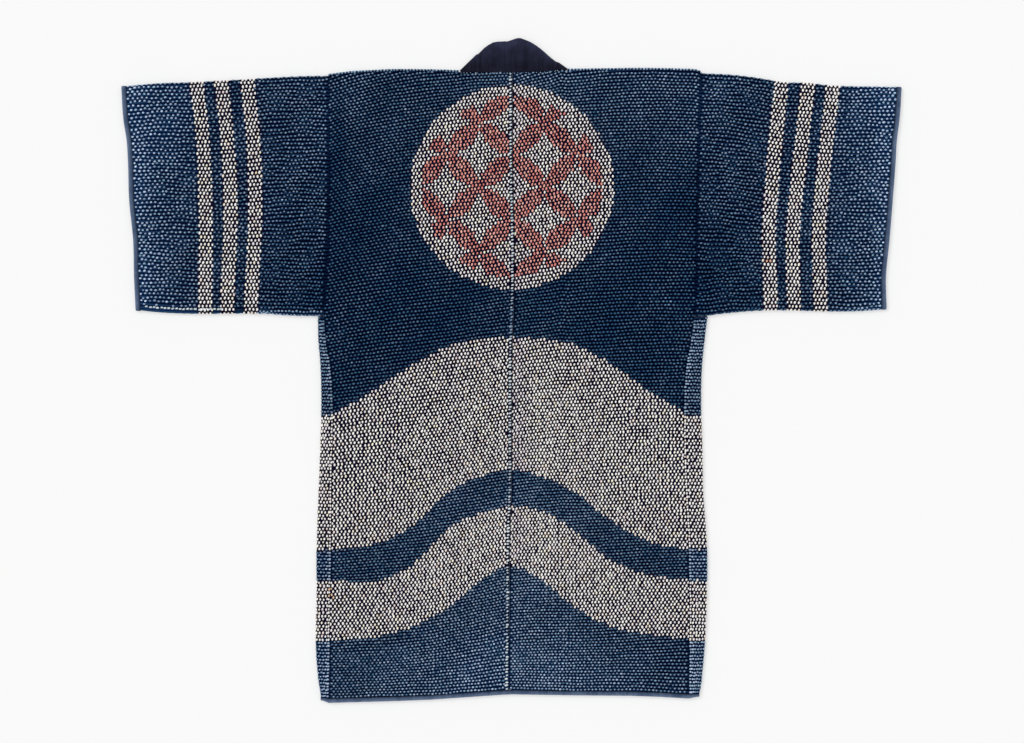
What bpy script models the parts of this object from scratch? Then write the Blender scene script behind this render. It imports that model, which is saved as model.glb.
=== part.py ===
"""A quilted fireman's coat, laid flat with its back up.

Metres, +Z up, +Y towards the neckband. The origin lies on the table, under the middle of the coat.
Left and right are the wearer's, so left is at -X. The fronts and the under walls of the sleeves rest
flat on the table; the back and the upper walls lie on them, and every rim is a folded edge.
Tables below are in millimetres.
"""

import math

import bmesh
import bpy
import numpy as np

MM = 0.001

# Cloth
WALL = 3.0            # several layers of cotton, quilted together
LAYER_GAP = 0.6       # air left between the upper and the under layer
SEAM_GAP = 0.3        # between two pieces that are sewn edge to edge
RIDGE = 0.7           # how far a row of quilting stands proud
BODY_PITCH = 5.15     # from one quilted row to the next on the body
SLEEVE_PITCH = 6.1    # the same on the sleeves
PLAIN_STEP = 24.0     # length of a facet on the unquilted faces
FOLD_STEPS = 4        # facets round a folded edge

TOP_BASE = WALL + LAYER_GAP
TOP_FACE = TOP_BASE + WALL
FOLD_MIDDLE = TOP_FACE / 2
FOLD_RADIUS = TOP_FACE / 2
FOLD_INNER = LAYER_GAP / 2

# Lengths that set how many rows there are
NECK_LEVEL = 478.0
BACK_LENGTH = 994.0
SLEEVE_DEPTH = 376.0

# The body: one line for the side edge, shoulder, hem and rim of each half
SIDE_COLUMNS = ("y", "left_seam", "right_seam")
SIDE_EDGE = (
    (478.0, -293.6, 304.6),
    (384.0, -292.9, 300.4),
    (288.0, -292.8, 298.6),
    (190.0, -295.2, 296.0),
    (88.0, -300.0, 293.0),
    (50.0, -297.4, 288.0),
    (10.0, -290.6, 280.6),
    (-70.0, -285.8, 276.2),
    (-160.0, -287.4, 277.0),
    (-285.0, -288.8, 283.4),
    (-400.0, -290.6, 285.0),
    (-520.0, -292.4, 284.2),
)
EDGE_COLUMNS = ("x", "shoulder", "hem")
SHOULDER_AND_HEM = (
    (-314.0, 472.0, -521.5),
    (-292.5, 474.6, -524.6),
    (-190.0, 482.4, -521.6),
    (-85.6, 480.2, -515.8),
    (-3.0, 480.6, -511.4),
    (89.6, 483.2, -514.0),
    (190.0, 483.8, -515.4),
    (284.3, 480.6, -518.4),
    (314.0, 474.6, -516.0),
)
CENTRE_SEAM = ((480.0, -0.6), (288.0, -2.4), (0.0, -3.2), (-250.0, -4.8), (-520.0, -7.0))
NECK_POINT = {"left": -85.6, "right": 89.6}
QUARTER = 190.0       # a line of points between the side and the neck point

# Front edges, under the back: they lean in from the neck points and then fall straight
FRONT_COLUMNS = ("y", "left_seam", "right_seam", "free")
FRONT_EDGE = (
    (482.0, -85.6, 89.6, 28.0),
    (430.0, -77.0, 79.6, 20.0),
    (370.0, -68.0, 69.2, 12.5),
    (280.0, -61.5, 61.8, 6.0),
    (120.0, -59.5, 59.5, 4.0),
    (-524.0, -59.5, 59.5, 4.0),
)

# How far the quilted rows climb from the side seam to the centre, at the shoulder and at the hem
ROW_CLIMB = {"left": (34.0, 22.0), "right": (-9.0, -14.0)}
ROW_SAG = {"left": -4.0, "right": 5.0}
ROW_SETTLE = 9.0      # rows reach their full climb within one ninth of the length from either edge
SLEEVE_ROW_WAVE = 3.0

# Gussets: the folded rim that the outline shows under each arm
UNDERARM = 86.4
RIM_COLUMNS = ("y", "left_rim", "right_rim")
GUSSET_RIM = (
    (86.6, -310.2, 314.2),
    (48.8, -309.6, 309.6),
    (16.8, -306.8, 304.8),
    (-47.2, -304.8, 303.4),
    (-111.2, -306.4, 304.6),
    (-207.2, -309.2, 306.4),
    (-271.2, -311.2, 311.0),
    (-335.2, -311.2, 311.2),
    (-431.2, -314.4, 308.6),
    (-520.0, -307.6, 300.4),
)

# Sleeves: top and bottom edge from the armhole (0) to the cuff (1)
SLEEVE_COLUMNS = ("along", "left_top", "left_bottom", "right_top", "right_bottom")
SLEEVE_EDGES = (
    (0.0, 470.4, 87.2, 475.6, 87.6),
    (0.2, 469.4, 89.8, 473.0, 92.2),
    (0.42, 466.6, 92.0, 468.6, 95.0),
    (0.66, 462.4, 92.2, 462.4, 97.6),
    (0.88, 457.6, 96.0, 455.4, 95.4),
    (1.0, 453.6, 98.0, 454.4, 97.6),
)
CUFF_COLUMNS = ("y", "left_cuff", "right_cuff")
CUFF_EDGE = (
    (458.0, -616.6, 616.6),
    (400.0, -613.8, 613.6),
    (336.0, -608.2, 608.0),
    (272.0, -604.6, 601.4),
    (208.0, -597.8, 594.0),
    (144.0, -593.6, 590.0),
    (94.0, -593.0, 590.6),
)

# Bindings, folded strips over the raw edges
HEM_BINDING = 7.2
CUFF_BINDING = 8.0
BINDING_THICKNESS = 3.4
BINDING_TURN = 6      # facets where a binding or the neckband turns under
CUFF_STATIONS = 15

# Neckband: a row for each section of the mound, from one turned fold to the other
# seam_x, free_x, free_y
NECK_MOUND = (
    (-82.4, -28.0, 524.4),
    (-50.0, -14.0, 527.8),
    (-11.0, -1.0, 528.4),
    (3.0, 9.8, 532.2),
    (22.0, 22.4, 529.0),
    (50.0, 36.0, 521.6),
    (86.2, 46.4, 512.6),
)
BAND_THICKNESS = 3.0
BAND_TURN = 3.3       # half the height of the mound where the band turns under
BAND_LEAN = 0.3       # share of the front edge over which the band leans in from the neck

# Slow unevenness of cloth that lies loose: the lift of the upper layer, and sine waves in it
LIFT = {"body": 1.5, "sleeve": 2.0}
# height, length_x, length_y, phase
WAVES = (
    (0.35, 310.0, 900.0, 0.4),
    (0.30, -420.0, 260.0, 1.9),
    (0.22, 170.0, 410.0, 3.1),
)


def smooth(stations, values, at):
    """Read a smooth curve through (station, value) pairs, with each slope taken from the neighbours."""
    stations = np.asarray(stations, float)
    values = np.asarray(values, float)
    if stations[0] > stations[-1]:
        stations, values = stations[::-1], values[::-1]
    slopes = np.gradient(values, stations)
    at = np.clip(np.asarray(at, float), stations[0], stations[-1])
    cell = np.clip(np.searchsorted(stations, at, side="right") - 1, 0, len(stations) - 2)
    width = stations[cell + 1] - stations[cell]
    t = (at - stations[cell]) / width
    return (
        (2 * t**3 - 3 * t**2 + 1) * values[cell]
        + (t**3 - 2 * t**2 + t) * width * slopes[cell]
        + (3 * t**2 - 2 * t**3) * values[cell + 1]
        + (t**3 - t**2) * width * slopes[cell + 1]
    )


def column(table, names, name, at):
    """Read one named column of a table against its first column."""
    rows = np.array(table)
    return smooth(rows[:, 0], rows[:, names.index(name)], at)


def lift(x, y, along, across, amount):
    """Height of the upper layer over its flat lie; it dies away where along or across is 0 or 1."""
    level = np.ones_like(x)
    for height, length_x, length_y, phase in WAVES:
        level = level + height * np.sin(2 * math.pi * (x / length_x + y / length_y) + phase)
    fade = (1 - (2 * along - 1) ** 4) * (1 - (2 * across - 1) ** 4)
    return amount * level * fade


def points(x, y, z):
    """Stack three equal arrays of millimetres into one array of points."""
    x, y, z = np.broadcast_arrays(x, y, z)
    return np.stack([x, y, z], axis=-1)


def add_grid(bm, grid):
    """Skin a grid of points with four-sided faces."""
    rows, columns = grid.shape[:2]
    verts = [[bm.verts.new(grid[i, j] * MM) for j in range(columns)] for i in range(rows)]
    for i in range(rows - 1):
        for j in range(columns - 1):
            bm.faces.new((verts[i][j], verts[i][j + 1], verts[i + 1][j + 1], verts[i + 1][j]))


def add_zip(bm, fine, coarse):
    """Join two lines of points that start and end together, whatever their number of points."""
    a = [bm.verts.new(p * MM) for p in fine]
    b = [bm.verts.new(p * MM) for p in coarse]
    i = j = 0
    while i < len(a) - 1 or j < len(b) - 1:
        if (i + 1) * (len(b) - 1) <= (j + 1) * (len(a) - 1) and i < len(a) - 1:
            bm.faces.new((a[i], a[i + 1], b[j]))
            i += 1
        else:
            bm.faces.new((a[i], b[j + 1], b[j]))
            j += 1


def finish_solid(bm, name, material, collection):
    """Sew the patches into one closed body with its faces pointing out, and make it an object."""
    bmesh.ops.remove_doubles(bm, verts=bm.verts, dist=0.000002)
    bmesh.ops.recalc_face_normals(bm, faces=bm.faces)
    mesh = bpy.data.meshes.new(name)
    bm.to_mesh(mesh)
    bm.free()
    mesh.shade_smooth()
    mesh.set_sharp_from_angle(angle=math.radians(40))
    mesh.materials.append(material)
    collection.objects.link(bpy.data.objects.new(name, mesh))


def fold_arc(radius, steps=FOLD_STEPS):
    """Outward reach and height of a folded edge, from the upper face round to the under face."""
    angle = np.linspace(0, math.pi, steps + 1)
    return radius * np.sin(angle), FOLD_MIDDLE + radius * np.cos(angle)


def ridges(count):
    """Heights of quilted rows: every second line of points stands proud."""
    return np.where(np.arange(count) % 2 == 1, RIDGE, 0.0)[:, None]


def row_lines(length, pitch):
    """Number of lines of points that quilt a length, two to a row."""
    return 2 * int(round(length / pitch)) + 1


def plain_lines(length):
    """Number of lines of points along an unquilted length."""
    return int(round(length / PLAIN_STEP)) + 1


def straight_column(name, x):
    """Read the shoulder or the hem at a place across the coat, straight from one row to the next."""
    rows = np.array(SHOULDER_AND_HEM)
    return np.interp(x, rows[:, 0], rows[:, EDGE_COLUMNS.index(name)])


def back_columns(side):
    """Where the lines of points stand across a back half, from the side to the centre."""
    seam = SIDE_EDGE[0][SIDE_COLUMNS.index(side + "_seam")]
    quarter = (math.copysign(QUARTER, seam) - seam) / (0.0 - seam)
    neck = (NECK_POINT[side] - seam) / (0.0 - seam)
    return np.array([0.0, quarter, neck, 1.0])


def front_columns(side):
    """The same across a front, from the side to the front edge."""
    worn = back_columns(side)[:-1]
    return worn / worn[-1]


def span(side, u, y, inner_edge):
    """Places across a panel from its side seam to its inner edge, both read at the height y."""
    sign = -1.0 if side == "left" else 1.0
    edge = column(SIDE_EDGE, SIDE_COLUMNS, side + "_seam", y) - sign * SEAM_GAP / 2
    return edge + (inner_edge(y) - edge) * u


def body_layout(side, u, down):
    """Plan of one back half: u runs 0 to 1 from the side to the centre, down 0 to 1 from shoulder to hem."""
    sign = -1.0 if side == "left" else 1.0

    def centre(y):
        return smooth(*zip(*CENTRE_SEAM), y) + sign * SEAM_GAP / 2

    level = NECK_LEVEL - down * BACK_LENGTH
    near_x = span(side, u, level, centre)
    climb = ROW_CLIMB[side][0] * (1 - down) + ROW_CLIMB[side][1] * down
    bend = climb * (u - 0.5) + ROW_SAG[side] * np.sin(math.pi * u)
    fade = np.minimum(1.0, np.minimum(down, 1 - down) * ROW_SETTLE)
    top = straight_column("shoulder", near_x) - FOLD_RADIUS
    y = top + (straight_column("hem", near_x) - top) * down + bend * fade
    return span(side, u, y, centre), y


def front_layout(side, u, down):
    """Plan of one front: u runs 0 to 1 from the side to the front edge."""

    def front_edge(y):
        return column(FRONT_EDGE, FRONT_COLUMNS, side + "_seam", y)

    level = NECK_LEVEL - down * BACK_LENGTH
    near_x = span(side, u, level, front_edge)
    top = straight_column("shoulder", near_x) - FOLD_RADIUS
    y = top + (straight_column("hem", near_x) - top) * down
    return span(side, u, y, front_edge), y


def make_body(side, material, collection):
    """One length of quilted cloth: the back, the fold over the shoulder and the front beneath."""
    u_back = back_columns(side)
    fine = np.linspace(0, 1, row_lines(BACK_LENGTH, BODY_PITCH))
    plain = np.linspace(0, 1, plain_lines(BACK_LENGTH))

    def back(lines, base, relief):
        u, down = np.meshgrid(u_back, lines)
        x, y = body_layout(side, u, down)
        height = lift(x, y, u / 2, down, LIFT["body"])
        return points(x, y, base + height + relief)

    outer = back(fine, TOP_FACE, ridges(len(fine)))
    inner = back(plain, TOP_BASE, 0.0)
    worn = len(u_back) - 1
    u, down = np.meshgrid(front_columns(side), plain)
    x, y = front_layout(side, u, down)
    front_outer = points(x, y, 0.0)
    front_inner = points(x, y, WALL)

    def over_shoulder(radius, top_row, bottom_row):
        reach, height = fold_arc(radius)
        t = np.linspace(0, 1, len(reach))[:, None]
        x = top_row[None, :, 0] * (1 - t) + bottom_row[None, :, 0] * t
        y = top_row[None, :, 1] * (1 - t) + bottom_row[None, :, 1] * t + reach[:, None]
        return points(x, y, height[:, None])

    fold_outer = over_shoulder(FOLD_RADIUS, outer[0, :worn], front_outer[0])
    fold_inner = over_shoulder(FOLD_INNER, inner[0, :worn], front_inner[0])

    bm = bmesh.new()
    for patch in (outer, inner, fold_outer, fold_inner, front_outer, front_inner):
        add_grid(bm, patch)
    for j in (0, -1):
        add_zip(bm, outer[:, j], inner[:, j])
        add_grid(bm, np.stack([fold_outer[:, j], fold_inner[:, j]]))
        add_grid(bm, np.stack([front_outer[:, j], front_inner[:, j]]))
    add_grid(bm, np.stack([outer[-1], inner[-1]]))
    add_grid(bm, np.stack([front_outer[-1], front_inner[-1]]))
    add_grid(bm, np.stack([outer[0, worn - 1:], inner[0, worn - 1:]]))
    finish_solid(bm, "body_" + side, material, collection)


def make_sleeve(side, material, collection):
    """A folded tube, open at the armhole and at the cuff, quilted on its upper wall."""
    sign = -1.0 if side == "left" else 1.0
    along = np.array([0.0, 0.25, 0.5, 0.75, 1.0])

    def layout(lines):
        u, down = np.meshgrid(along, lines)
        top = column(SLEEVE_EDGES, SLEEVE_COLUMNS, side + "_top", u) - FOLD_RADIUS
        bottom = column(SLEEVE_EDGES, SLEEVE_COLUMNS, side + "_bottom", u) + FOLD_RADIUS
        y = top + (bottom - top) * down
        seam = column(SIDE_EDGE, SIDE_COLUMNS, side + "_seam", y) + sign * SEAM_GAP / 2
        cuff = column(CUFF_EDGE, CUFF_COLUMNS, side + "_cuff", y)
        inside = np.sin(math.pi * u) * np.sin(math.pi * down)
        wave = SLEEVE_ROW_WAVE * inside * np.sin(math.pi * (2 * u + down))
        return seam + (cuff - seam) * u, y + wave, u, down

    def ring(count, radius, upper, under, relief):
        """Upper wall, lower fold, under wall and shoulder fold, as rows of one closed ring."""
        x, y, u, down = layout(np.linspace(0, 1, count))
        top = points(x, y, upper + lift(x, y, u, down, LIFT["sleeve"]) + relief)
        bottom_x, bottom_y, _, _ = layout(np.linspace(1, 0, plain_count))
        bottom = points(bottom_x, bottom_y, under)
        reach, height = fold_arc(radius)
        middle = slice(1, FOLD_STEPS)
        low = points(bottom_x[:1], bottom_y[:1] - reach[middle, None], height[middle, None])
        high = points(bottom_x[-1:], bottom_y[-1:] + reach[middle][::-1, None], height[middle][::-1, None])
        return np.concatenate([top, low, bottom, high, top[:1]])

    plain_count = plain_lines(SLEEVE_DEPTH)
    fine_count = row_lines(SLEEVE_DEPTH, SLEEVE_PITCH)
    outer = ring(fine_count, FOLD_RADIUS, TOP_FACE, 0.0, ridges(fine_count))
    inner = ring(plain_count, FOLD_INNER, TOP_BASE, WALL, 0.0)

    bm = bmesh.new()
    add_grid(bm, outer)
    add_grid(bm, inner)
    for j in (0, -1):
        add_zip(bm, outer[:fine_count, j], inner[:plain_count, j])
        add_grid(bm, np.stack([outer[fine_count - 1:, j], inner[plain_count - 1:, j]]))
    finish_solid(bm, "sleeve_" + side, material, collection)


def gusset_hem(side):
    """The two ends of a gusset's lower edge: at the seam and where it turns under."""
    sign = -1.0 if side == "left" else 1.0
    seam_x = float(column(SIDE_EDGE, SIDE_COLUMNS, side + "_seam", -520.0)) + sign * SEAM_GAP / 2
    rim_x = float(column(GUSSET_RIM, RIM_COLUMNS, side + "_rim", -520.0)) - sign * FOLD_RADIUS
    return (seam_x, float(straight_column("hem", seam_x))), (rim_x, float(straight_column("hem", rim_x)))


def make_gusset(side, material, collection):
    """A narrow strip from the underarm to the hem, folded round the side edge."""
    sign = -1.0 if side == "left" else 1.0
    seam_end, rim_end = gusset_hem(side)
    length = UNDERARM - seam_end[1]
    fine = np.linspace(0, 1, row_lines(length, BODY_PITCH))
    plain = np.linspace(0, 1, plain_lines(length))

    def rim(y):
        return column(GUSSET_RIM, RIM_COLUMNS, side + "_rim", y) - sign * FOLD_RADIUS

    def seam(y):
        return column(SIDE_EDGE, SIDE_COLUMNS, side + "_seam", y) + sign * SEAM_GAP / 2

    def hem_tilt(down):
        """The lowest part of the strip follows the hem, which is not level."""
        return (rim_end[1] - seam_end[1]) * np.clip(1 - (1 - down) * ROW_SETTLE, 0, 1)

    def flat_strip(lines, height):
        across = np.array([0.0, 1.0])[None, :]
        down = lines[:, None]
        level = UNDERARM - length * down
        y = level + hem_tilt(down) * across
        x = seam(level) + (rim(level) - seam(level)) * across
        return points(x, y, height)

    def turned(radius):
        reach, height = fold_arc(radius)
        down = plain[:, None]
        level = UNDERARM - length * down
        y = level + hem_tilt(down)
        return points(rim(level) + sign * reach[None, :], y, height[None, :])

    outer = flat_strip(fine, TOP_FACE + ridges(len(fine)))
    outer[:, 1, 2] = TOP_FACE
    turned_outer = turned(FOLD_RADIUS)
    under = flat_strip(plain, 0.0)[:, ::-1]
    inner = np.concatenate(
        [flat_strip(plain, TOP_BASE), turned(FOLD_INNER)[:, 1:-1], flat_strip(plain, WALL)[:, ::-1]], axis=1
    )
    rest_outer = np.concatenate([turned_outer[:, 1:-1], under], axis=1)

    bm = bmesh.new()
    add_grid(bm, outer)
    add_zip(bm, outer[:, -1], turned_outer[:, 1])
    add_grid(bm, rest_outer)
    add_grid(bm, inner)
    add_zip(bm, outer[:, 0], inner[:, 0])
    add_grid(bm, np.stack([under[:, -1], inner[:, -1]]))
    for end in (0, -1):
        add_grid(bm, np.stack([np.concatenate([outer[end], rest_outer[end]]), inner[end]]))
    finish_solid(bm, "side_gusset_" + side, material, collection)


def make_ribbon(name, path, out, up, width, thickness, closed, material, collection):
    """A folded strip: a section with a rounded free edge, carried along a path.

    Each section spans from the path along out by width, and thickness / 2 to both sides along up.
    """
    out_share = np.array([0.0, 0.86, 1.0, 1.0, 0.86, 0.0])
    up_share = np.array([-0.5, -0.5, -0.22, 0.22, 0.5, 0.5])
    width = np.broadcast_to(width, (len(path),))
    grid = (
        path[:, None, :]
        + out[:, None, :] * (width[:, None] * out_share[None, :])[:, :, None]
        + up[:, None, :] * (thickness * up_share)[None, :, None]
    )
    grid = np.concatenate([grid, grid[:, :1]], axis=1)
    if closed:
        grid = np.concatenate([grid, grid[:1]])
    bm = bmesh.new()
    add_grid(bm, grid)
    if not closed:
        for end in (0, -1):
            bm.faces.new([bm.verts.new(p * MM) for p in grid[end, :-1]])
    finish_solid(bm, name, material, collection)


def turn(start_angle, end_angle):
    """Angles round a turned edge, with its two ends."""
    return np.linspace(start_angle, end_angle, BINDING_TURN + 1)


def make_hem_binding(material, collection):
    """The strip along the hem: left front, round the side, across the back, round the side, right front.

    Its points are those of the panels it closes, so it keeps the seam gap to them.
    """
    half = BINDING_THICKNESS / 2
    low = half
    high = TOP_BASE + half
    middle = (low + high) / 2
    radius = (high - low) / 2
    x, y, z, angle = [], [], [], []

    def run(xs, ys, height, normal_angle):
        x.extend(xs)
        y.extend(ys)
        z.extend([height] * len(xs))
        angle.extend([normal_angle] * len(xs))

    def turn_under(side, angles):
        _, (rim_x, rim_y) = gusset_hem(side)
        x.extend(rim_x + radius * np.cos(angles))
        y.extend([rim_y] * len(angles))
        z.extend(middle + radius * np.sin(angles))
        angle.extend(angles)

    front = {side: front_layout(side, front_columns(side), np.ones(3)) for side in ("left", "right")}
    back = {side: body_layout(side, back_columns(side), np.ones(4)) for side in ("left", "right")}
    under, over = -math.pi / 2, math.pi / 2
    run(front["left"][0][::-1], front["left"][1][::-1], low, under)
    turn_under("left", turn(under, -math.pi - over))
    run(back["left"][0][:-1], back["left"][1][:-1], high, over)
    run([CENTRE_SEAM[-1][1]], [straight_column("hem", CENTRE_SEAM[-1][1])], high, over)
    run(back["right"][0][-2::-1], back["right"][1][-2::-1], high, over)
    turn_under("right", turn(over, under))
    run(front["right"][0], front["right"][1], low, under)
    path = points(np.array(x), np.array(y) - SEAM_GAP, np.array(z))
    out = np.broadcast_to(np.array([0.0, -1.0, 0.0]), path.shape)
    up = points(np.cos(angle), 0.0, np.sin(angle))
    make_ribbon("hem_binding", path, out, up, HEM_BINDING, BINDING_THICKNESS, False, material, collection)


def make_cuff_binding(side, material, collection):
    """The strip round the sleeve's opening, pressed flat with it."""
    sign = -1.0 if side == "left" else 1.0
    half = BINDING_THICKNESS / 2
    low = half
    high = TOP_BASE + half
    middle = (low + high) / 2
    radius = (high - low) / 2
    top_y = column(SLEEVE_EDGES, SLEEVE_COLUMNS, side + "_top", 1.0) - radius - half
    bottom_y = column(SLEEVE_EDGES, SLEEVE_COLUMNS, side + "_bottom", 1.0) + radius + half
    upper = np.linspace(top_y, bottom_y, CUFF_STATIONS)
    under = upper[::-1]
    lower_turn = turn(math.pi / 2, 3 * math.pi / 2)[1:-1]
    upper_turn = turn(-math.pi / 2, math.pi / 2)[1:-1]
    y = np.concatenate([
        upper, bottom_y + radius * np.cos(lower_turn), under, top_y + radius * np.cos(upper_turn)
    ])
    z = np.concatenate([
        np.full(CUFF_STATIONS, high), middle + radius * np.sin(lower_turn),
        np.full(CUFF_STATIONS, low), middle + radius * np.sin(upper_turn),
    ])
    up_angle = np.concatenate([
        np.full(CUFF_STATIONS, math.pi / 2), lower_turn, np.full(CUFF_STATIONS, -math.pi / 2), upper_turn
    ])
    x = column(CUFF_EDGE, CUFF_COLUMNS, side + "_cuff", y) + sign * SEAM_GAP
    path = points(x, y, z)
    out = np.broadcast_to(np.array([sign, 0.0, 0.0]), path.shape)
    up = points(0.0, np.cos(up_angle), np.sin(up_angle))
    name = "cuff_binding_" + side
    make_ribbon(name, path, out, up, CUFF_BINDING, BINDING_THICKNESS, True, material, collection)


def make_neckband(material, collection):
    """One folded band: up the left front edge, turned under at the neck, across the back, down the right."""
    half = BAND_THICKNESS / 2
    radius = BAND_TURN - half
    seam, free, up = [], [], []

    def section(seam_point, free_point, normal):
        seam.append(seam_point)
        free.append(free_point)
        up.append(normal)

    def front(side, lines):
        """Sections along a front edge, each from a point of the panel's own edge."""
        sign = -1.0 if side == "left" else 1.0
        for down in lines:
            x, y = front_layout(side, 1.0, np.array(down))
            free_x = sign * column(FRONT_EDGE, FRONT_COLUMNS, "free", y)
            section((x - sign * SEAM_GAP, y, half), (free_x, y, half), (0.0, 0.0, -1.0))

    def neck_seam(x):
        """The back's neck edge, straight from each neck point to the centre."""
        line = [body_layout("left", back_columns("left")[-2:], np.zeros(2))]
        line.append(body_layout("right", back_columns("right")[-2:][::-1], np.zeros(2)))
        edge_x = np.concatenate([part[0] for part in line])
        edge_y = np.concatenate([part[1] for part in line])
        return float(np.interp(x, edge_x, edge_y)) + SEAM_GAP

    def fold(row, sign, angles):
        """The turned edge: the section swings from one layer to the other about the fold line."""
        seam_x, free_x, free_y = row
        seam_y = neck_seam(seam_x)
        line = np.array([free_x - seam_x, free_y - seam_y])
        line = line / np.linalg.norm(line)
        outward = np.array([line[1] * sign, abs(line[0])])
        for angle in angles:
            shift = outward * radius * math.cos(angle)
            level = BAND_TURN + radius * math.sin(angle)
            normal = (outward[0] * math.cos(angle), outward[1] * math.cos(angle), math.sin(angle))
            section(
                (seam_x + shift[0], seam_y + shift[1], level),
                (free_x + shift[0], free_y + shift[1], level),
                normal,
            )

    last = plain_lines(BACK_LENGTH) - 1
    leaning = int(BAND_LEAN * last)
    stations = np.concatenate([np.arange(1, leaning), np.linspace(leaning, last, 5)]) / last
    quarter_turn = math.pi / 2
    front("left", stations[::-1])
    fold(NECK_MOUND[0], -1.0, turn(-quarter_turn, quarter_turn))
    for seam_x, free_x, free_y in NECK_MOUND[1:-1]:
        level = BAND_TURN + radius
        section((seam_x, neck_seam(seam_x), level), (free_x, free_y, level), (0.0, 0.0, 1.0))
    fold(NECK_MOUND[-1], 1.0, turn(quarter_turn, -quarter_turn))
    front("right", stations)

    seam = np.array(seam, float)
    across = np.array(free, float) - seam
    width = np.linalg.norm(across, axis=1)
    out = across / width[:, None]
    make_ribbon("neckband", seam, out, np.array(up), width, BAND_THICKNESS, False, material, collection)


def make_material(name, color, roughness):
    """Plain dyed cotton."""
    material = bpy.data.materials.new(name)
    material.use_nodes = True
    shader = material.node_tree.nodes["Principled BSDF"]
    shader.inputs["Base Color"].default_value = (*color, 1.0)
    shader.inputs["Roughness"].default_value = roughness
    shader.inputs["Metallic"].default_value = 0.0
    return material


def main():
    for old in list(bpy.data.objects):
        bpy.data.objects.remove(old, do_unlink=True)
    coat = bpy.data.collections.new("fireman_coat")
    bpy.context.scene.collection.children.link(coat)
    quilted = (0.030, 0.058, 0.110)
    faded = (0.055, 0.095, 0.150)
    for side in ("left", "right"):
        make_body(side, make_material("body_" + side, quilted, 0.9), coat)
        make_sleeve(side, make_material("sleeve_" + side, faded, 0.9), coat)
        make_gusset(side, make_material("side_gusset_" + side, faded, 0.9), coat)
        make_cuff_binding(side, make_material("cuff_binding_" + side, (0.035, 0.065, 0.125), 0.85), coat)
    make_hem_binding(make_material("hem_binding", (0.035, 0.065, 0.125), 0.85), coat)
    make_neckband(make_material("neckband", (0.010, 0.010, 0.024), 0.85), coat)


main()
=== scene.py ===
"""The finish of a quilted fireman's coat that lies flat with its back up.

Tables and sizes are in millimetres, places in the part's own frame: +Z up, +Y towards the neckband, the
wearer's left at -X. Every piece of cloth is a thin shell on the form of its solid, and every quilting
stitch is a small raised bean of thread laid on it.
"""

import math
from functools import partial

import bmesh
import bpy
import numpy as np
from bpy.props import FloatProperty, FloatVectorProperty, IntProperty, PointerProperty
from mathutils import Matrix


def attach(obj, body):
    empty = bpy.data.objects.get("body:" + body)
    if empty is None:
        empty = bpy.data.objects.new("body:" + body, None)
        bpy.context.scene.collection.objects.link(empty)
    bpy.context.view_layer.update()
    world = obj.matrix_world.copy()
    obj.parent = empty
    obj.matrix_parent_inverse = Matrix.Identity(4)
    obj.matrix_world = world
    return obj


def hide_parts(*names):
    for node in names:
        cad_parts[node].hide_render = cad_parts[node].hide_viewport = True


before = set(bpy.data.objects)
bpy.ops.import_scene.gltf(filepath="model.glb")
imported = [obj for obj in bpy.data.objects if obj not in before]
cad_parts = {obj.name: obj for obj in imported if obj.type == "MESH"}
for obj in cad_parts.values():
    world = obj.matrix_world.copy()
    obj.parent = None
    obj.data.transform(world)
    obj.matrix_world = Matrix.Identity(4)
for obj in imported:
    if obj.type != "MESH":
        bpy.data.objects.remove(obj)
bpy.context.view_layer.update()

bl_info = {
    "name": "Fireman Coat Finish",
    "version": (1, 0, 0),
    "blender": (4, 5, 0),
    "location": "3D View > Sidebar > Coat",
    "description": "Dyed quilted cloth, running stitches, bindings and neckband of a fireman's coat",
    "category": "Object",
}

BODY = "root"
MM = 0.001
SIDES = ("left", "right")

# Cloth: the shell is a little thinner than its solid, to leave room for the stitches
SHELL = 2.2
FLOOR_CLEAR = 0.02
UNDER_FACE = 0.9
TOP_FACE = 6.6
TOP_BASE = 3.6
FOLD_REACH = 3.3
FOLD_MIDDLE = (UNDER_FACE + TOP_FACE) / 2
FOLD_RADIUS = (TOP_FACE - UNDER_FACE) / 2
SEAM_GAP = 0.06
BINDING_GAP = 0.3
FOLD_STEPS = 8

NECK_LEVEL = 478.0
BACK_LENGTH = 994.0
FRONT_WIDTH = 235.0
HALF_WIDTH = 292.0
SLEEVE_DEPTH = 376.0
SLEEVE_LENGTH = 308.0

# The body's edges, as the solids have them
SIDE_COLUMNS = ("y", "left_seam", "right_seam")
SIDE_EDGE = (
    (478.0, -293.6, 304.6),
    (384.0, -292.9, 300.4),
    (288.0, -292.8, 298.6),
    (190.0, -295.2, 296.0),
    (88.0, -300.0, 293.0),
    (50.0, -297.4, 288.0),
    (10.0, -290.6, 280.6),
    (-70.0, -285.8, 276.2),
    (-160.0, -287.4, 277.0),
    (-285.0, -288.8, 283.4),
    (-400.0, -290.6, 285.0),
    (-520.0, -292.4, 284.2),
)
EDGE_COLUMNS = ("x", "shoulder", "hem")
SHOULDER_AND_HEM = (
    (-314.0, 472.0, -521.5),
    (-292.5, 474.8, -524.6),
    (-258.0, 479.4, -523.6),
    (-190.0, 482.8, -521.8),
    (-130.0, 482.4, -519.5),
    (-85.6, 480.9, -516.4),
    (-3.0, 480.6, -510.8),
    (60.0, 482.2, -511.9),
    (72.0, 484.4, -512.1),
    (80.0, 485.9, -512.2),
    (89.6, 483.2, -512.4),
    (190.0, 484.6, -513.2),
    (240.0, 484.4, -515.0),
    (284.3, 483.2, -517.6),
    (296.0, 482.3, -517.1),
    (301.5, 480.4, -516.9),
    (305.0, 477.2, -516.8),
    (314.0, 474.0, -516.0),
)
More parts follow.
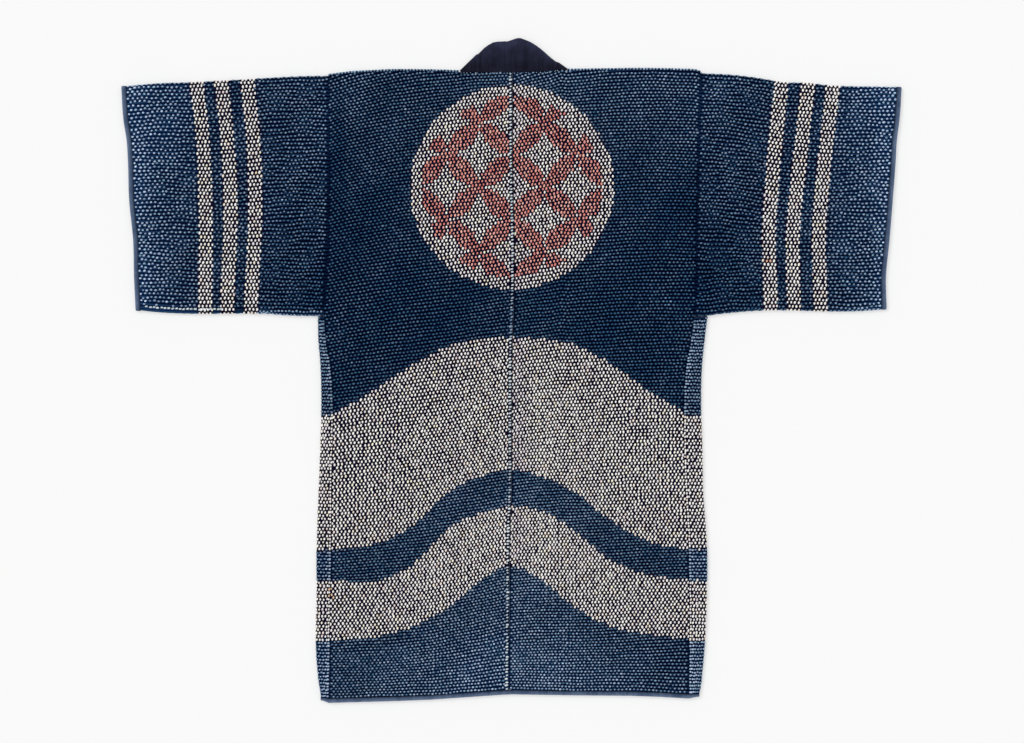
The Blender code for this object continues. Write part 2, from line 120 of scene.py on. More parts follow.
CENTRE_SEAM = (
    (480.0, 1.4),
    (300.0, 2.6),
    (210.0, 4.6),
    (112.0, 4.0),
    (48.0, 1.6),
    (-50.0, 0.6),
    (-210.0, -0.4),
    (-260.0, -2.4),
    (-370.0, -3.4),
    (-520.0, -4.6),
)
NECK_POINT = {"left": -85.6, "right": 89.6}
FRONT_COLUMNS = ("y", "left_seam", "right_seam", "free")
FRONT_EDGE = (
    (482.0, -85.6, 89.6, 28.0),
    (430.0, -77.0, 79.6, 20.0),
    (370.0, -68.0, 69.2, 12.5),
    (280.0, -61.5, 61.8, 6.0),
    (120.0, -59.5, 59.5, 4.0),
    (-524.0, -59.5, 59.5, 4.0),
)

# How far the quilted rows climb towards the centre, and how far they bow, at the shoulder and at the hem
ROW_CLIMB = {"left": (46.0, 24.0), "right": (-17.0, -15.0)}
ROW_BOW = {"left": (4.0, -9.0), "right": (6.0, -6.0)}
ROW_SETTLE = 12.0
HEM_SETTLE = 9.0
SPARE_ROWS = 6
BRICK_SHIFT = 0.42
SLEEVE_ROW_WAVE = 3.6
SLEEVE_ROW_LIFT = {"left": 1.5, "right": 7.0}

# Next to the centre seam the rows drop: by how much, and over what length it dies away
SEAM_DROP = {"left": 0.0, "right": 5.0}
SEAM_DROP_REACH = 28.0
NECK_DROP = 6.0
NECK_DROP_REACH = 45.0

# Spacing of the body's rows against its mean, from the shoulder at 0 to the hem at 1
ROW_SPACING = ((0.0, 1.0), (0.2, 1.0), (0.34, 1.07), (0.55, 1.0), (0.87, 0.91), (1.0, 1.0))

# How far the indigo and the undyed stitches keep off the seams
SIDE_CLEAR = (2.1, 1.0)
CENTRE_CLEAR = {"left": (6.8, 6.6), "right": (2.8, 1.3)}

# The paler stitches along the centre seam stand in two columns by turns, so far from the seam
CENTRE_COLUMNS = (2.8, 3.7)

# Gussets: width, columns of stitches on the upper and the under strip, the share of the width and the
# distance from the seam at which they start, the bare end under the arm, and the paler column beside the seam
GUSSET_WIDTH = 18.0
GUSSET_COLUMNS = {"left": 3, "right": 4}
UNDER_COLUMNS = 3
GUSSET_START = 0.15
GUSSET_CLEAR = 3.8
UNDERARM_BARE = 0.006
GUSSET_PALE_COLUMN = 1.8

# Edges of the gussets and the sleeves
UNDERARM = 87.0
RIM_COLUMNS = ("y", "left_rim", "right_rim")
GUSSET_RIM = (
    (86.6, -310.2, 314.2),
    (48.8, -309.6, 309.6),
    (16.8, -306.8, 306.2),
    (-47.2, -304.8, 303.8),
    (-111.2, -306.4, 305.8),
    (-207.2, -310.0, 308.4),
    (-271.2, -312.4, 313.2),
    (-350.0, -312.6, 313.6),
    (-431.2, -313.9, 310.6),
    (-485.0, -310.8, 306.0),
    (-505.0, -308.4, 303.8),
    (-520.0, -305.6, 300.8),
)
SLEEVE_COLUMNS = ("along", "left_top", "left_bottom", "right_top", "right_bottom")
SLEEVE_EDGES = (
    (0.0, 471.8, 87.0, 476.2, 87.0),
    (0.06, 472.0, 86.95, 475.4, 87.1),
    (0.1, 471.8, 87.0, 475.0, 88.9),
    (0.2, 470.6, 88.0, 472.4, 92.4),
    (0.32, 468.4, 90.6, 467.2, 95.2),
    (0.42, 466.4, 90.9, 462.0, 96.2),
    (0.54, 464.2, 90.6, 460.8, 95.8),
    (0.66, 462.2, 90.3, 456.8, 94.8),
    (0.88, 459.4, 92.3, 455.0, 94.8),
    (1.0, 455.8, 95.4, 454.4, 97.4),
)
CUFF_COLUMNS = ("y", "left_cuff", "right_cuff")
CUFF_EDGE = (
    (458.0, -616.6, 616.6),
    (400.0, -612.8, 612.8),
    (368.0, -607.8, 608.6),
    (336.0, -605.8, 606.8),
    (272.0, -603.8, 602.0),
    (208.0, -597.4, 596.8),
    (150.0, -596.0, 591.2),
    (94.0, -593.4, 592.4),
)

# Bindings and neckband
HEM_BINDING = 7.2
HEM_CORNER = 2.4
CUFF_BINDING = 8.0
BINDING_THICKNESS = 3.4
BINDING_CLOTH = 0.7
BINDING_LOW = BINDING_THICKNESS / 2
BINDING_HIGH = TOP_BASE + BINDING_THICKNESS / 2
BINDING_MIDDLE = (BINDING_LOW + BINDING_HIGH) / 2
BINDING_RADIUS = (BINDING_HIGH - BINDING_LOW) / 2
HEM_RIPPLE = 0.12
HEM_STATIONS = 40
CUFF_STATIONS = 60
TURN_STEPS = 8
FLAT_STEPS = 6
NECK_COLUMNS = ("seam_x", "free_x", "free_y")
NECK_MOUND = (
    (-80.8, -52.4, 507.4),
    (-66.0, -41.0, 518.4),
    (-56.0, -29.0, 525.4),
    (-44.0, -15.0, 526.8),
    (-11.0, -3.0, 528.0),
    (3.0, 9.6, 532.2),
    (22.0, 21.0, 529.8),
    (42.0, 36.6, 522.4),
    (54.0, 48.8, 513.4),
    (66.0, 60.0, 503.4),
    (88.0, 71.0, 494.6),
)
NECK_STATIONS = 29
NECK_EDGE_STATIONS = 12
FRONT_STATIONS = 60
BAND_START = 0.024
BAND_THICKNESS = 3.0
BAND_CLOTH = 0.8
BAND_TURN = 3.3
BAND_BLUNT = 3.6
BAND_TAPER = 0.3

# Dips of the upper layer into the seams, the step of one back half over the other, and the scalloped folds of
# the sleeves
SEAM_DIP = 1.3
SLEEVE_DIP = 1.2
SEAM_DIP_WIDTH = 2.8
GUSSET_DIP = 0.9
GUSSET_DIP_WIDTH = 2.2
CENTRE_RISE = {"left": 1.0, "right": -1.1}
CENTRE_RISE_WIDTH = 3.2
FOLD_FADE = 4.0
SCALLOP = 0.5
SCALLOP_LENGTH = 13.0

# Slow unevenness of the upper layer: its lift, and sine waves of a height, two lengths and a phase
LIFT = {"body": 1.3, "sleeve": 1.8}
WAVES = (
    (0.35, 310.0, 900.0, 0.4),
    (0.30, -420.0, 260.0, 1.9),
    (0.22, 170.0, 410.0, 3.1),
)

# Soft creases, each a trough from end to end: start x, y, end x, y, depth, half width
CREASES = (
    (-262.0, 60.0, -150.0, -30.0, 0.7, 9.0),
    (246.0, 40.0, 180.0, -40.0, 0.6, 8.0),
    (-228.0, 440.0, -206.0, 250.0, 0.5, 10.0),
    (236.0, 452.0, 222.0, 190.0, 0.6, 12.0),
    (-120.0, -120.0, -96.0, -330.0, 0.4, 11.0),
    (92.0, -60.0, 120.0, -250.0, 0.5, 10.0),
    (-270.0, -250.0, -262.0, -480.0, 0.5, 8.0),
    (-330.0, 420.0, -420.0, 150.0, 0.6, 12.0),
    (340.0, 400.0, 400.0, 180.0, 0.7, 11.0),
    (545.0, 420.0, 560.0, 170.0, 0.5, 9.0),
    (-560.0, 300.0, -530.0, 130.0, 0.5, 9.0),
)
CREASE_WANDER = 0.4
CREASE_BENDS = 5

# Lines of the cloth's mesh down each panel, and the spacing of those across it
BACK_LINES = 130
FRONT_LINES = 56
SLEEVE_LINES = 44
GUSSET_LINES = 60
BODY_LINE_SPACING = 6.0
SLEEVE_LINE_SPACING = 6.4
SEAM_LINES = (0.0, 1.2, 2.6, 4.4, 7.0)
GUSSET_LINES_ACROSS = (0.0, 0.1, 0.22, 0.4, 0.7, 1.0)
NECK_LINE_CLEAR = 0.006
SMOOTH_ANGLE = 50.0

# Dyed bands across the back: the four edges from one side to the other
BAND_COLUMNS = ("x", "belly_top", "belly_bottom", "low_top", "low_bottom")
BANDS = (
    (-292.0, -74.0, -286.6, -335.5, -431.2),
    (-220.0, -31.0, -278.5, -337.0, -427.0),
    (-160.0, 9.0, -249.5, -311.0, -410.0),
    (-100.0, 40.0, -195.0, -252.0, -378.0),
    (-50.0, 50.5, -170.0, -228.0, -337.0),
    (-6.0, 53.6, -159.3, -218.4, -313.5),
    (50.0, 51.0, -170.5, -225.0, -337.0),
    (100.0, 42.0, -195.0, -255.0, -378.0),
    (160.0, 11.0, -241.0, -303.0, -410.0),
    (220.0, -33.0, -274.0, -326.0, -423.0),
    (284.0, -70.0, -286.6, -334.7, -430.4),
)
LEVEL_BANDS = ((-286.6, -71.2), (-431.2, -334.7))

# Middle lines of the three stripes on each sleeve, from the shoulder down
STRIPE_COLUMNS = ("y", "inner", "middle", "outer")
STRIPES = {
    "left": (
        (461.6, -422.6, -464.8, -504.4),
        (386.4, -414.4, -456.0, -495.2),
        (272.8, -409.7, -449.6, -489.6),
        (96.8, -417.2, -455.2, -489.5),
    ),
    "right": (
        (461.6, 432.0, 475.2, 515.2),
        (304.8, 417.1, 457.8, 497.7),
        (221.6, 412.0, 450.2, 492.0),
        (96.8, 415.2, 452.0, 495.0),
    ),
}
STRIPE_WIDTH = 23.0
STRIPE_COUNT = 4

# Round field between the shoulders: interlocking circles in a pale ring
FIELD_CENTRE = (0.8, 293.6)
FIELD_RADIUS = 163.6
RIM_RING = 19.0
CIRCLE_RADIUS = 52.0

# Small pale stitches at the foot of the neckband
NECK_DOT_PITCH = 5.6
NECK_DOT_SIZE = 0.45
NECK_DOT_DOWN = 1.5

# Marks of use: place, reach, and what the thread's colour is multiplied by there
MARKS = (
    (409.6, 175.2, 4.6, (0.86, 0.50, 0.34)),
    (-289.0, -352.0, 3.6, (0.90, 0.68, 0.50)),
    (-288.5, -362.0, 3.6, (0.90, 0.68, 0.50)),
    (248.0, 111.0, 7.0, (2.1, 2.0, 1.8)),
    (-411.0, 318.0, 3.0, (0.92, 0.72, 0.50)),
)

# The pale row and the plain fold at the bottom of the left sleeve, from x to x
PALE_ROW = (-590.0, -462.0)
PALE_ROW_SEAM = -292.4
PALE_ROW_PITCH = 6.3
PALE_ROW_DOWN = 0.987
PLAIN_FOLD = (-604.0, -424.0)

# How worn the indigo is, 0 deep and 1 pale: amounts for a panel, a fold or a row
SLEEVE_WEAR = {"left": 0.27, "right": 0.22}
FOLD_WEAR = {"left": 0.45, "right": 0.0}
SHOULDER_WEAR = {"left": 0.24, "right": 0.42}
SHOULDER_FOLD_WEAR = 0.15
PALE_ROW_WEAR = 0.9
GUSSET_WEAR = {"left": 0.30, "right": 0.38}
GUSSET_CLOTH_WEAR = 0.4

# Wear that grows from one place to another: amount, start and end, in y or in shares of the way to the cuff
TOP_WEAR = (0.16, 150.0, 460.0)
OUTER_WEAR = (0.56, 0.4, 1.05)
CUFF_WEAR = (0.28, 0.86, 0.98)

# The heights between which the wear of the shoulders, the lower back and the hem grows, and between which that
# of the sleeve's bottom fold ends
SHOULDER_PLACE = (250.0, 470.0)
LOW_PLACE = (-60.0, -260.0)
HEM_PLACE = (-360.0, -500.0)
FOLD_PLACE = (95.0, 101.0)

# Wear round a place, and painted shade along a strip: amount, place and reach
UNDERARM_WEAR = (0.22, (305.0, 110.0), 75.0)
# Painted shade: less wear, so darker stitches and cloth, on a strip beside the left armhole seam
ARMHOLE_PAINTED_SHADE = (0.24, -278.0, 9.0)
GUSSET_SEAM_WEAR = (0.42, 4.0, 3.5)

# Odd threads among the others: their share, and what their colour is multiplied by
TEAL_THREADS = (0.12, (0.86, 1.03, 1.0))
BRIGHT_THREADS = (0.03, 1.35)
ROSY_THREADS = (0.06, (1.0, 0.91, 0.86))
CREAM_THREADS = (0.08, (1.0, 0.965, 0.84))

# Length, width, height in millimetres (half sizes in the plan) and turn in degrees, for each kind of stitch
STITCH = {
    "blue": (1.88, 1.52, 0.85, 10.0),
    "undyed": (2.42, 1.68, 0.95, 80.0),
    "red": (2.42, 1.68, 0.95, 80.0),
    "seam": (2.42, 1.42, 0.95, 13.0),
}
KIND = {0: "blue", 1: "undyed", 2: "red"}

# Chance differences from stitch to stitch: of size as a share, of turn in degrees, of place as a share of the
# spacing, and the slow drift of the rows and of the brick's shift
SIZE_SPREAD = 0.08
TURN_SPREAD = 8.0
PLACE_SPREAD = 0.06
ROW_SPREAD = 0.05
ROW_DRIFT = 0.11
SHIFT_WANDER = 0.07

# How much closer than at the side seam the stitches stand at a row's far end, as a share
BODY_CROWDING = 0.06
SLEEVE_CROWDING = -0.10

# How freely the rows drift, against 1 for the body
SLEEVE_DRIFT = 2.0
GUSSET_DRIFT = 0.7
FOLD_DRIFT = 0.4

# Rows over a fold, and the shares of the way down between which the back has rows
SHOULDER_ROWS = 3
FOLD_ROWS = 2
ROWS_FROM = 0.001
ROWS_TO = 0.9995

# Sizes of the stitches against the usual one
SLEEVE_SIZE = 1.02
CUFF_MORE = 0.15
STRIPE_SIZE = 1.07
PALE_ROW_SIZE = 1.15
GUSSET_PALE_SIZE = {"blue": 1.14, "undyed": 0.92}
CENTRE_SIZE = 1.08

# Roughness and sheen of each kind of thread
THREADS = {"blue": (0.8, 0.04), "undyed": (0.85, 0.05), "red": (0.85, 0.04), "seam": (0.8, 0.05)}

# The way that a stretch of cloth faces
UP = (0, 0, 1)
DOWN = (0, 0, -1)

# Stage: the camera's sensor in millimetres, the light's spread in degrees, and the rest in metres
SENSOR = 36.0
VIEW_DEPTH = 50.0
CAMERA_PLACE = (0.0008, -0.0016)
CLOTH_LEVEL = 0.007
FLOOR_REACH = 6.0
LIGHT_PLACE = (-1.6, 1.3, 2.0)
LIGHT_SPREAD = 24.0


def smooth(stations, values, at):
    """Read a smooth curve through (station, value) pairs: cubic Hermite, each slope from the neighbours."""
    stations = np.asarray(stations, float)
    values = np.asarray(values, float)
    if stations[0] > stations[-1]:
        stations, values = stations[::-1], values[::-1]
    slopes = np.gradient(values, stations)
    at = np.clip(np.asarray(at, float), stations[0], stations[-1])
    cell = np.clip(np.searchsorted(stations, at, side="right") - 1, 0, len(stations) - 2)
    width = stations[cell + 1] - stations[cell]
    t = (at - stations[cell]) / width
    return (
        (2 * t**3 - 3 * t**2 + 1) * values[cell]
        + (t**3 - 2 * t**2 + t) * width * slopes[cell]
        + (3 * t**2 - 2 * t**3) * values[cell + 1]
        + (t**3 - t**2) * width * slopes[cell + 1]
    )


def column(table, names, name, at):
    """Read one named column of a table against its first column."""
    rows = np.array(table)
    return smooth(rows[:, 0], rows[:, names.index(name)], at)


def straight(name, x):
    """Read the shoulder or the hem at a place across the coat, straight from one row to the next."""
    rows = np.array(SHOULDER_AND_HEM)
    return np.interp(x, rows[:, 0], rows[:, EDGE_COLUMNS.index(name)])


def side_seam(side, y):
    """The body's side seam, which is the sleeve's armhole higher up, at the height y."""
    return column(SIDE_EDGE, SIDE_COLUMNS, side + "_seam", y)


def cuff_edge(side, y):
    """The sleeve's outer edge at the height y."""
    return column(CUFF_EDGE, CUFF_COLUMNS, side + "_cuff", y)


def sleeve_edge(side, name, along):
    """The sleeve's top or bottom edge, from the armhole at 0 to the cuff at 1."""
    return column(SLEEVE_EDGES, SLEEVE_COLUMNS, f"{side}_{name}", along)


def points(x, y, z):
    """Stack three arrays of millimetres into one array of points."""
    return np.stack(np.broadcast_arrays(x, y, z), axis=-1)


def step(low, high, value):
    """0 below low, 1 above high, and an eased slope 3t^2 - 2t^3 between."""
    t = np.clip((value - low) / (high - low), 0, 1)
    return t * t * (3 - 2 * t)


def bell(distance, width):
    """A ridge exp(-(distance / width)^2), 1 on its line."""
    return np.exp(-((distance / width) ** 2))


def outward_sign(side):
    """The way that x grows away from the middle of the coat."""
    return -1.0 if side == "left" else 1.0


def lie(x, y, along, across, amount):
    """Height of the upper layer over its flat lie: slow sine waves, fading at the borders, less the creases.

    (amount (1 + sum h sin(2 pi (x / a + y / b) + p)) - creases) (1 - (2 along - 1)^4) (1 - (2 across - 1)^4),
    with depth sin^2(pi t) exp(-(d / width)^2) for each crease, where t runs along its line and d is the
    distance from it, which wanders a little.
    """
    level = np.ones_like(x)
    for height, length_x, length_y, phase in WAVES:
        level = level + height * np.sin(2 * math.pi * (x / length_x + y / length_y) + phase)
    fade = (1 - (2 * along - 1) ** 4) * (1 - (2 * across - 1) ** 4)
    troughs = np.zeros_like(x)
    for x0, y0, x1, y1, depth, width in CREASES:
        run_x, run_y = x1 - x0, y1 - y0
        reach = math.hypot(run_x, run_y)
        t = ((x - x0) * run_x + (y - y0) * run_y) / reach**2
        off = ((x - x0) * run_y - (y - y0) * run_x) / reach
        off = off + CREASE_WANDER * width * np.sin(CREASE_BENDS * t + x0)
        troughs = troughs + depth * np.sin(math.pi * np.clip(t, 0, 1)) ** 2 * bell(off, width)
    return (amount * level - troughs) * fade


# Plans of the panels: u runs across, v along, both from 0 to 1

def span(side, u, y, inner_edge):
    """Places across a panel from its side seam to its inner edge, both read at the height y."""
    edge = side_seam(side, y) - outward_sign(side) * SEAM_GAP / 2
    return edge + (inner_edge(y) - edge) * u


def panel_plan(side, u, down, inner_edge):
    """Plan of a panel from the shoulder: u from its side seam to its inner edge, down to the hem."""
    near_x = span(side, u, NECK_LEVEL - down * BACK_LENGTH, inner_edge)
    top = straight("shoulder", near_x) - FOLD_REACH
    y = top + (straight("hem", near_x) - top) * down
    return span(side, u, y, inner_edge), y


def back_plan(side, u, down):
    """Plan of a back half: u from the side to the centre seam, down from the shoulder to the hem."""
    gap = outward_sign(side) * SEAM_GAP / 2
    return panel_plan(side, u, down, lambda y: smooth(*zip(*CENTRE_SEAM), y) + gap)


def front_plan(side, u, down):
    """Plan of a front: u from the side to the front edge, down from the shoulder to the hem."""
    return panel_plan(side, u, down, lambda y: column(FRONT_EDGE, FRONT_COLUMNS, side + "_seam", y))


def row_rise(side, u, down):
    """How far a row of the back lies above a level one: (climb (u - 0.5) + bow sin(pi u) - drop) settle.

    Climb and bow go evenly from their value at the shoulder to that at the hem; rows run out over the
    shoulder as they come, and settle to the line of the hem.
    """
    climb = ROW_CLIMB[side][0] * (1 - down) + ROW_CLIMB[side][1] * down
    bow = ROW_BOW[side][0] * (1 - down) + ROW_BOW[side][1] * down
    settle = np.clip((1 - down) * ROW_SETTLE, 0, 1)
    from_seam = (1 - u) * HALF_WIDTH
    drop = SEAM_DROP[side] * np.exp(-from_seam / SEAM_DROP_REACH)
    drop = drop + NECK_DROP * bell(from_seam, NECK_DROP_REACH) * bell(down * BACK_LENGTH, NECK_DROP_REACH)
    return (climb * (u - 0.5) + bow * np.sin(math.pi * u) - drop) * settle


def row_map():
    """Two rising lists, the share of the rows passed and the share of the way down.

    On the way down rows are passed at 1 / spacing, so the first list is the running sum of that, scaled to
    run from 0 at the shoulder to 1 at the hem.
    """
    down = np.linspace(-0.1, 1.1, 241)
    density = 1 / smooth(*zip(*ROW_SPACING), down)
    passed = np.concatenate([[0.0], np.cumsum((density[1:] + density[:-1]) / 2 * np.diff(down))])
    start, end = np.interp([0.0, 1.0], down, passed)
    return (passed - start) / (end - start), down


def neck_share(side):
    """Where the neck point stands across a back half."""
    seam = SIDE_EDGE[0][SIDE_COLUMNS.index(side + "_seam")]
    return (NECK_POINT[side] - seam) / (0.0 - seam)


def sleeve_plan(side, u, down):
    """Plan of a sleeve: u from the armhole to the cuff, down from its top edge to its lower one."""
    top = sleeve_edge(side, "top", u) - FOLD_REACH
    bottom = sleeve_edge(side, "bottom", u) + FOLD_REACH
    y = top + (bottom - top) * down
    seam = side_seam(side, y) + outward_sign(side) * SEAM_GAP / 2
    cuff = cuff_edge(side, y)
    inside = np.sin(math.pi * u) * np.sin(math.pi * down)
    wave = SLEEVE_ROW_WAVE * inside * np.sin(math.pi * (2 * u + down))
    lifted = SLEEVE_ROW_LIFT[side] * bell(u, 0.17) * np.sin(math.pi * down)
    return seam + (cuff - seam) * u, y + wave + lifted


def gusset_hem(side):
    """The two ends of a gusset's lower edge: at the seam and where it turns under."""
    sign = outward_sign(side)
    seam_x = float(side_seam(side, SIDE_EDGE[-1][0])) + sign * SEAM_GAP / 2
    rim_x = float(column(GUSSET_RIM, RIM_COLUMNS, side + "_rim", GUSSET_RIM[-1][0])) - sign * FOLD_REACH
    return (seam_x, float(straight("hem", seam_x))), (rim_x, float(straight("hem", rim_x)))


def gusset_plan(side, u, down):
    """Plan of a gusset: u from the side seam to the folded rim, down from the underarm to the hem."""
    sign = outward_sign(side)
    (_, seam_y), (_, rim_y) = gusset_hem(side)
    level = UNDERARM - (UNDERARM - seam_y) * down
    tilt = (rim_y - seam_y) * np.clip(1 - (1 - down) * HEM_SETTLE, 0, 1)
    seam = side_seam(side, level) + sign * SEAM_GAP / 2
    rim = column(GUSSET_RIM, RIM_COLUMNS, side + "_rim", level) - sign * FOLD_REACH
    return seam + (rim - seam) * u, level + tilt * u


def gusset_width(side, v):
    """Width of a gusset's upper strip."""
    seam_x, _ = gusset_plan(side, np.zeros_like(v), v)
    rim_x, _ = gusset_plan(side, np.ones_like(v), v)
    return np.abs(rim_x - seam_x)


# Surfaces: each gives points for u, v and a depth, 0 on the outer face and SHELL on the inner one

def back_surface(side, u, v, depth=0.0):
    """The upper layer of the body, raised along the centre seam on the left, sunk beside it on the right."""
    x, y = back_plan(side, u, v)
    z = TOP_FACE + lie(x, y, u / 2, v, LIFT["body"])
    z = z - SEAM_DIP * bell(u * HALF_WIDTH, SEAM_DIP_WIDTH)
    return points(x, y, z + CENTRE_RISE[side] * bell((1 - u) * HALF_WIDTH, CENTRE_RISE_WIDTH) - depth)


def shoulder_surface(side, u, v, depth=0.0):
    """The fold over the shoulder: a half circle from the back's top row to the front's."""
    back_x, back_y = back_plan(side, u * neck_share(side), np.zeros_like(u))
    front_x, front_y = front_plan(side, u, np.zeros_like(u))
    radius = FOLD_RADIUS - depth
    x = back_x * (1 - v) + front_x * v
    y = back_y * (1 - v) + front_y * v + radius * np.sin(math.pi * v)
    sunk = -SEAM_DIP * bell(u * FRONT_WIDTH, SEAM_DIP_WIDTH) * (1 - v)
    return points(x, y, FOLD_MIDDLE + radius * np.cos(math.pi * v) + sunk)


def front_surface(side, u, v, depth=0.0):
    """The front, flat on the table under the back."""
    x, y = front_plan(side, u, v)
    return points(x, y, UNDER_FACE + depth + np.zeros_like(x))


def down_sleeve(part, v):
    """How far down the sleeve v is, on each of the four stretches round it."""
    return {"upper": v, "low_fold": np.ones_like(v), "under": 1 - v, "high_fold": np.zeros_like(v)}[part]


def sleeve_surface(side, part, u, v, depth=0.0):
    """One of the four stretches round a sleeve: upper wall, lower fold, under wall, upper fold.

    The folds are half circles with a low scallop, h sin(2 pi x / length) sin(pi v).
    """
    down = down_sleeve(part, v)
    x, y = sleeve_plan(side, u, down)
    if part == "upper":
        fade = 1 - bell(np.minimum(down, 1 - down) * SLEEVE_DEPTH, FOLD_FADE)
        seam = SLEEVE_DIP * bell(u * SLEEVE_LENGTH, SEAM_DIP_WIDTH) * fade
        return points(x, y, TOP_FACE + lie(x, y, u, down, LIFT["sleeve"]) - seam - depth)
    if part == "under":
        return points(x, y, UNDER_FACE + depth + np.zeros_like(x))
    radius = FOLD_RADIUS - depth
    way = -1.0 if part == "low_fold" else 1.0
    scallop = SCALLOP * np.sin(2 * math.pi * u * SLEEVE_LENGTH / SCALLOP_LENGTH) * np.sin(math.pi * v)
    y = y + way * (radius + scallop) * np.sin(math.pi * v)
    return points(x, y, FOLD_MIDDLE - way * radius * np.cos(math.pi * v))


def gusset_surface(side, part, u, v, depth=0.0):
    """One of the three stretches round a gusset: upper strip, folded rim, under strip."""
    across = {"upper": u, "rim": np.ones_like(u), "under": 1 - u}[part]
    x, y = gusset_plan(side, across, v)
    if part == "upper":
        return points(x, y, TOP_FACE - GUSSET_DIP * bell(u * GUSSET_WIDTH, GUSSET_DIP_WIDTH) - depth)
    if part == "under":
        return points(x, y, UNDER_FACE + depth + np.zeros_like(x))
    radius = FOLD_RADIUS - depth
    reach = x + outward_sign(side) * radius * np.sin(math.pi * u)
    return points(reach, y, FOLD_MIDDLE + radius * np.cos(math.pi * u))


# Where the cloth was left undyed, and where it is red

def in_bands(x, y):
    """True on the two pale bands that swing up to the middle of the back."""
    edge = {name: column(BANDS, BAND_COLUMNS, name, x) for name in BAND_COLUMNS[1:]}
    belly = (y < edge["belly_top"]) & (y > edge["belly_bottom"])
    low = (y < edge["low_top"]) & (y > edge["low_bottom"])
    return belly | low


def in_level_bands(x, y):
    """True on the same bands where they run level, on the gussets and the fronts."""
    pale = np.zeros_like(x, bool)
    for low, high in LEVEL_BANDS:
        pale |= (y > low) & (y < high)
    return pale


def in_stripes(side, x, y):
    """True on the three pale stripes of a sleeve."""
    pale = np.zeros_like(x, bool)
    for name in STRIPE_COLUMNS[1:]:
        pale |= np.abs(x - column(STRIPES[side], STRIPE_COLUMNS, name, y)) < STRIPE_WIDTH / 2
    return pale


def round_field(x, y):
    """Class on the round field: 0 outside it, 1 pale, 2 red.

    Circles of radius r stand on a square grid turned by 45 degrees, their centres r sqrt(2) apart, so that a
    point lies in one circle or in two. Two circles overlap in a pointed petal, which is red.
    """
    off_x, off_y = x - FIELD_CENTRE[0], y - FIELD_CENTRE[1]
    distance = np.hypot(off_x, off_y)
    spacing = CIRCLE_RADIUS * math.sqrt(2)
    a = (off_x + off_y) / (2 * CIRCLE_RADIUS)
    b = (off_y - off_x) / (2 * CIRCLE_RADIUS)
    covered = np.zeros_like(x)
    for shift_a in (0.0, 1.0):
        for shift_b in (0.0, 1.0):
            centre_a = np.floor(a) + shift_a
            centre_b = np.floor(b) + shift_b
            covered += np.hypot(a - centre_a, b - centre_b) * spacing < CIRCLE_RADIUS
    kind = np.where((covered > 1.5) & (distance < FIELD_RADIUS - RIM_RING), 2, 1)
    return np.where(distance > FIELD_RADIUS, 0, kind)


def dye_class(panel, side, x, y):
    """0 where the cloth is indigo, 1 where it is undyed, 2 where it is red."""
    if panel == "back":
        return np.maximum(in_bands(x, y).astype(int), round_field(x, y))
    if panel == "sleeve":
        return in_stripes(side, x, y).astype(int)
    return in_level_bands(x, y).astype(int)


def grown(wear, at):
    """Wear of an amount that grows from its start to its end."""
    amount, start, end = wear
    return amount * step(start, end, at)


def wear_and_shade(panel, side, x, y):
    """How worn the indigo is, from 0 to 1: the sum of what the place calls for, and a slow unevenness.

    A sleeve is worn towards its top and its cuff and less under the arm, the body at the shoulders, in the
    middle low down and at the hem. A strip beside the left armhole gets painted shade: wear is taken off it so
    that its stitches and cloth are darker there.
    """
    slow = 0.06 * np.sin(x / 47.0 + 1.3) * np.sin(y / 61.0 + 0.7) + 0.05 * np.sin(x / 19.0 - y / 28.0)
    if panel == "sleeve":
        out = (np.abs(x) - 300.0) / 310.0
        amount, (place_x, place_y), reach = UNDERARM_WEAR
        worn = SLEEVE_WEAR[side] + grown(TOP_WEAR, y) + grown(OUTER_WEAR, out) + grown(CUFF_WEAR, out)
        worn = worn + FOLD_WEAR[side] * (1 - step(*FOLD_PLACE, y))
        worn = worn - amount * bell(np.hypot(np.abs(x) - place_x, y - place_y), reach)
        return np.clip(worn + slow, 0, 1.2)
    middle = bell(x, 150.0)
    # Painted shade along the left armhole seam, taken off the wear
    amount, strip_x, reach = ARMHOLE_PAINTED_SHADE
    strip = amount * bell(x - strip_x, reach) * step(200.0, 300.0, y) * (1 - step(440.0, 476.0, y))
    worn = 0.07 + SHOULDER_WEAR[side] * step(*SHOULDER_PLACE, y)
    worn = worn + (0.12 + 0.32 * middle) * step(*LOW_PLACE, y) + (0.24 + 0.08 * middle) * step(*HEM_PLACE, y)
    return np.clip(worn - strip + slow, 0, 1.1)


def shoulder_fading(side, x, y):
    """How worn the fold over the shoulder is: a little more than the back."""
    return wear_and_shade("back", side, x, y) + SHOULDER_FOLD_WEAR


def gusset_fading(side, x, y):
    """How worn a gusset's stitches are: more than the body, and most beside the seam below the arm."""
    amount, place_x, reach = GUSSET_SEAM_WEAR
    inner = bell(np.abs(x - side_seam(side, y)) - place_x, reach) * step(60.0, 20.0, y)
    return wear_and_shade("gusset", side, x, y) + GUSSET_WEAR[side] + amount * inner


def centre_fading(x, y):
    """How pale the column along the centre seam is: a little more than the body, most in the pale bands."""
    return wear_and_shade("back", "left", x, y) + 0.10 + 0.8 * (dye_class("back", "left", x, y) > 0)


# Meshes

def grid_faces(rows, columns, first):
    """Corners of the four-sided faces of a grid of points whose first point has the number given."""
    corner = first + np.arange((rows - 1) * columns).reshape(rows - 1, columns)[:, :-1]
    quads = np.stack([corner, corner + 1, corner + columns + 1, corner + columns], axis=-1)
    return quads.reshape(-1, 4)


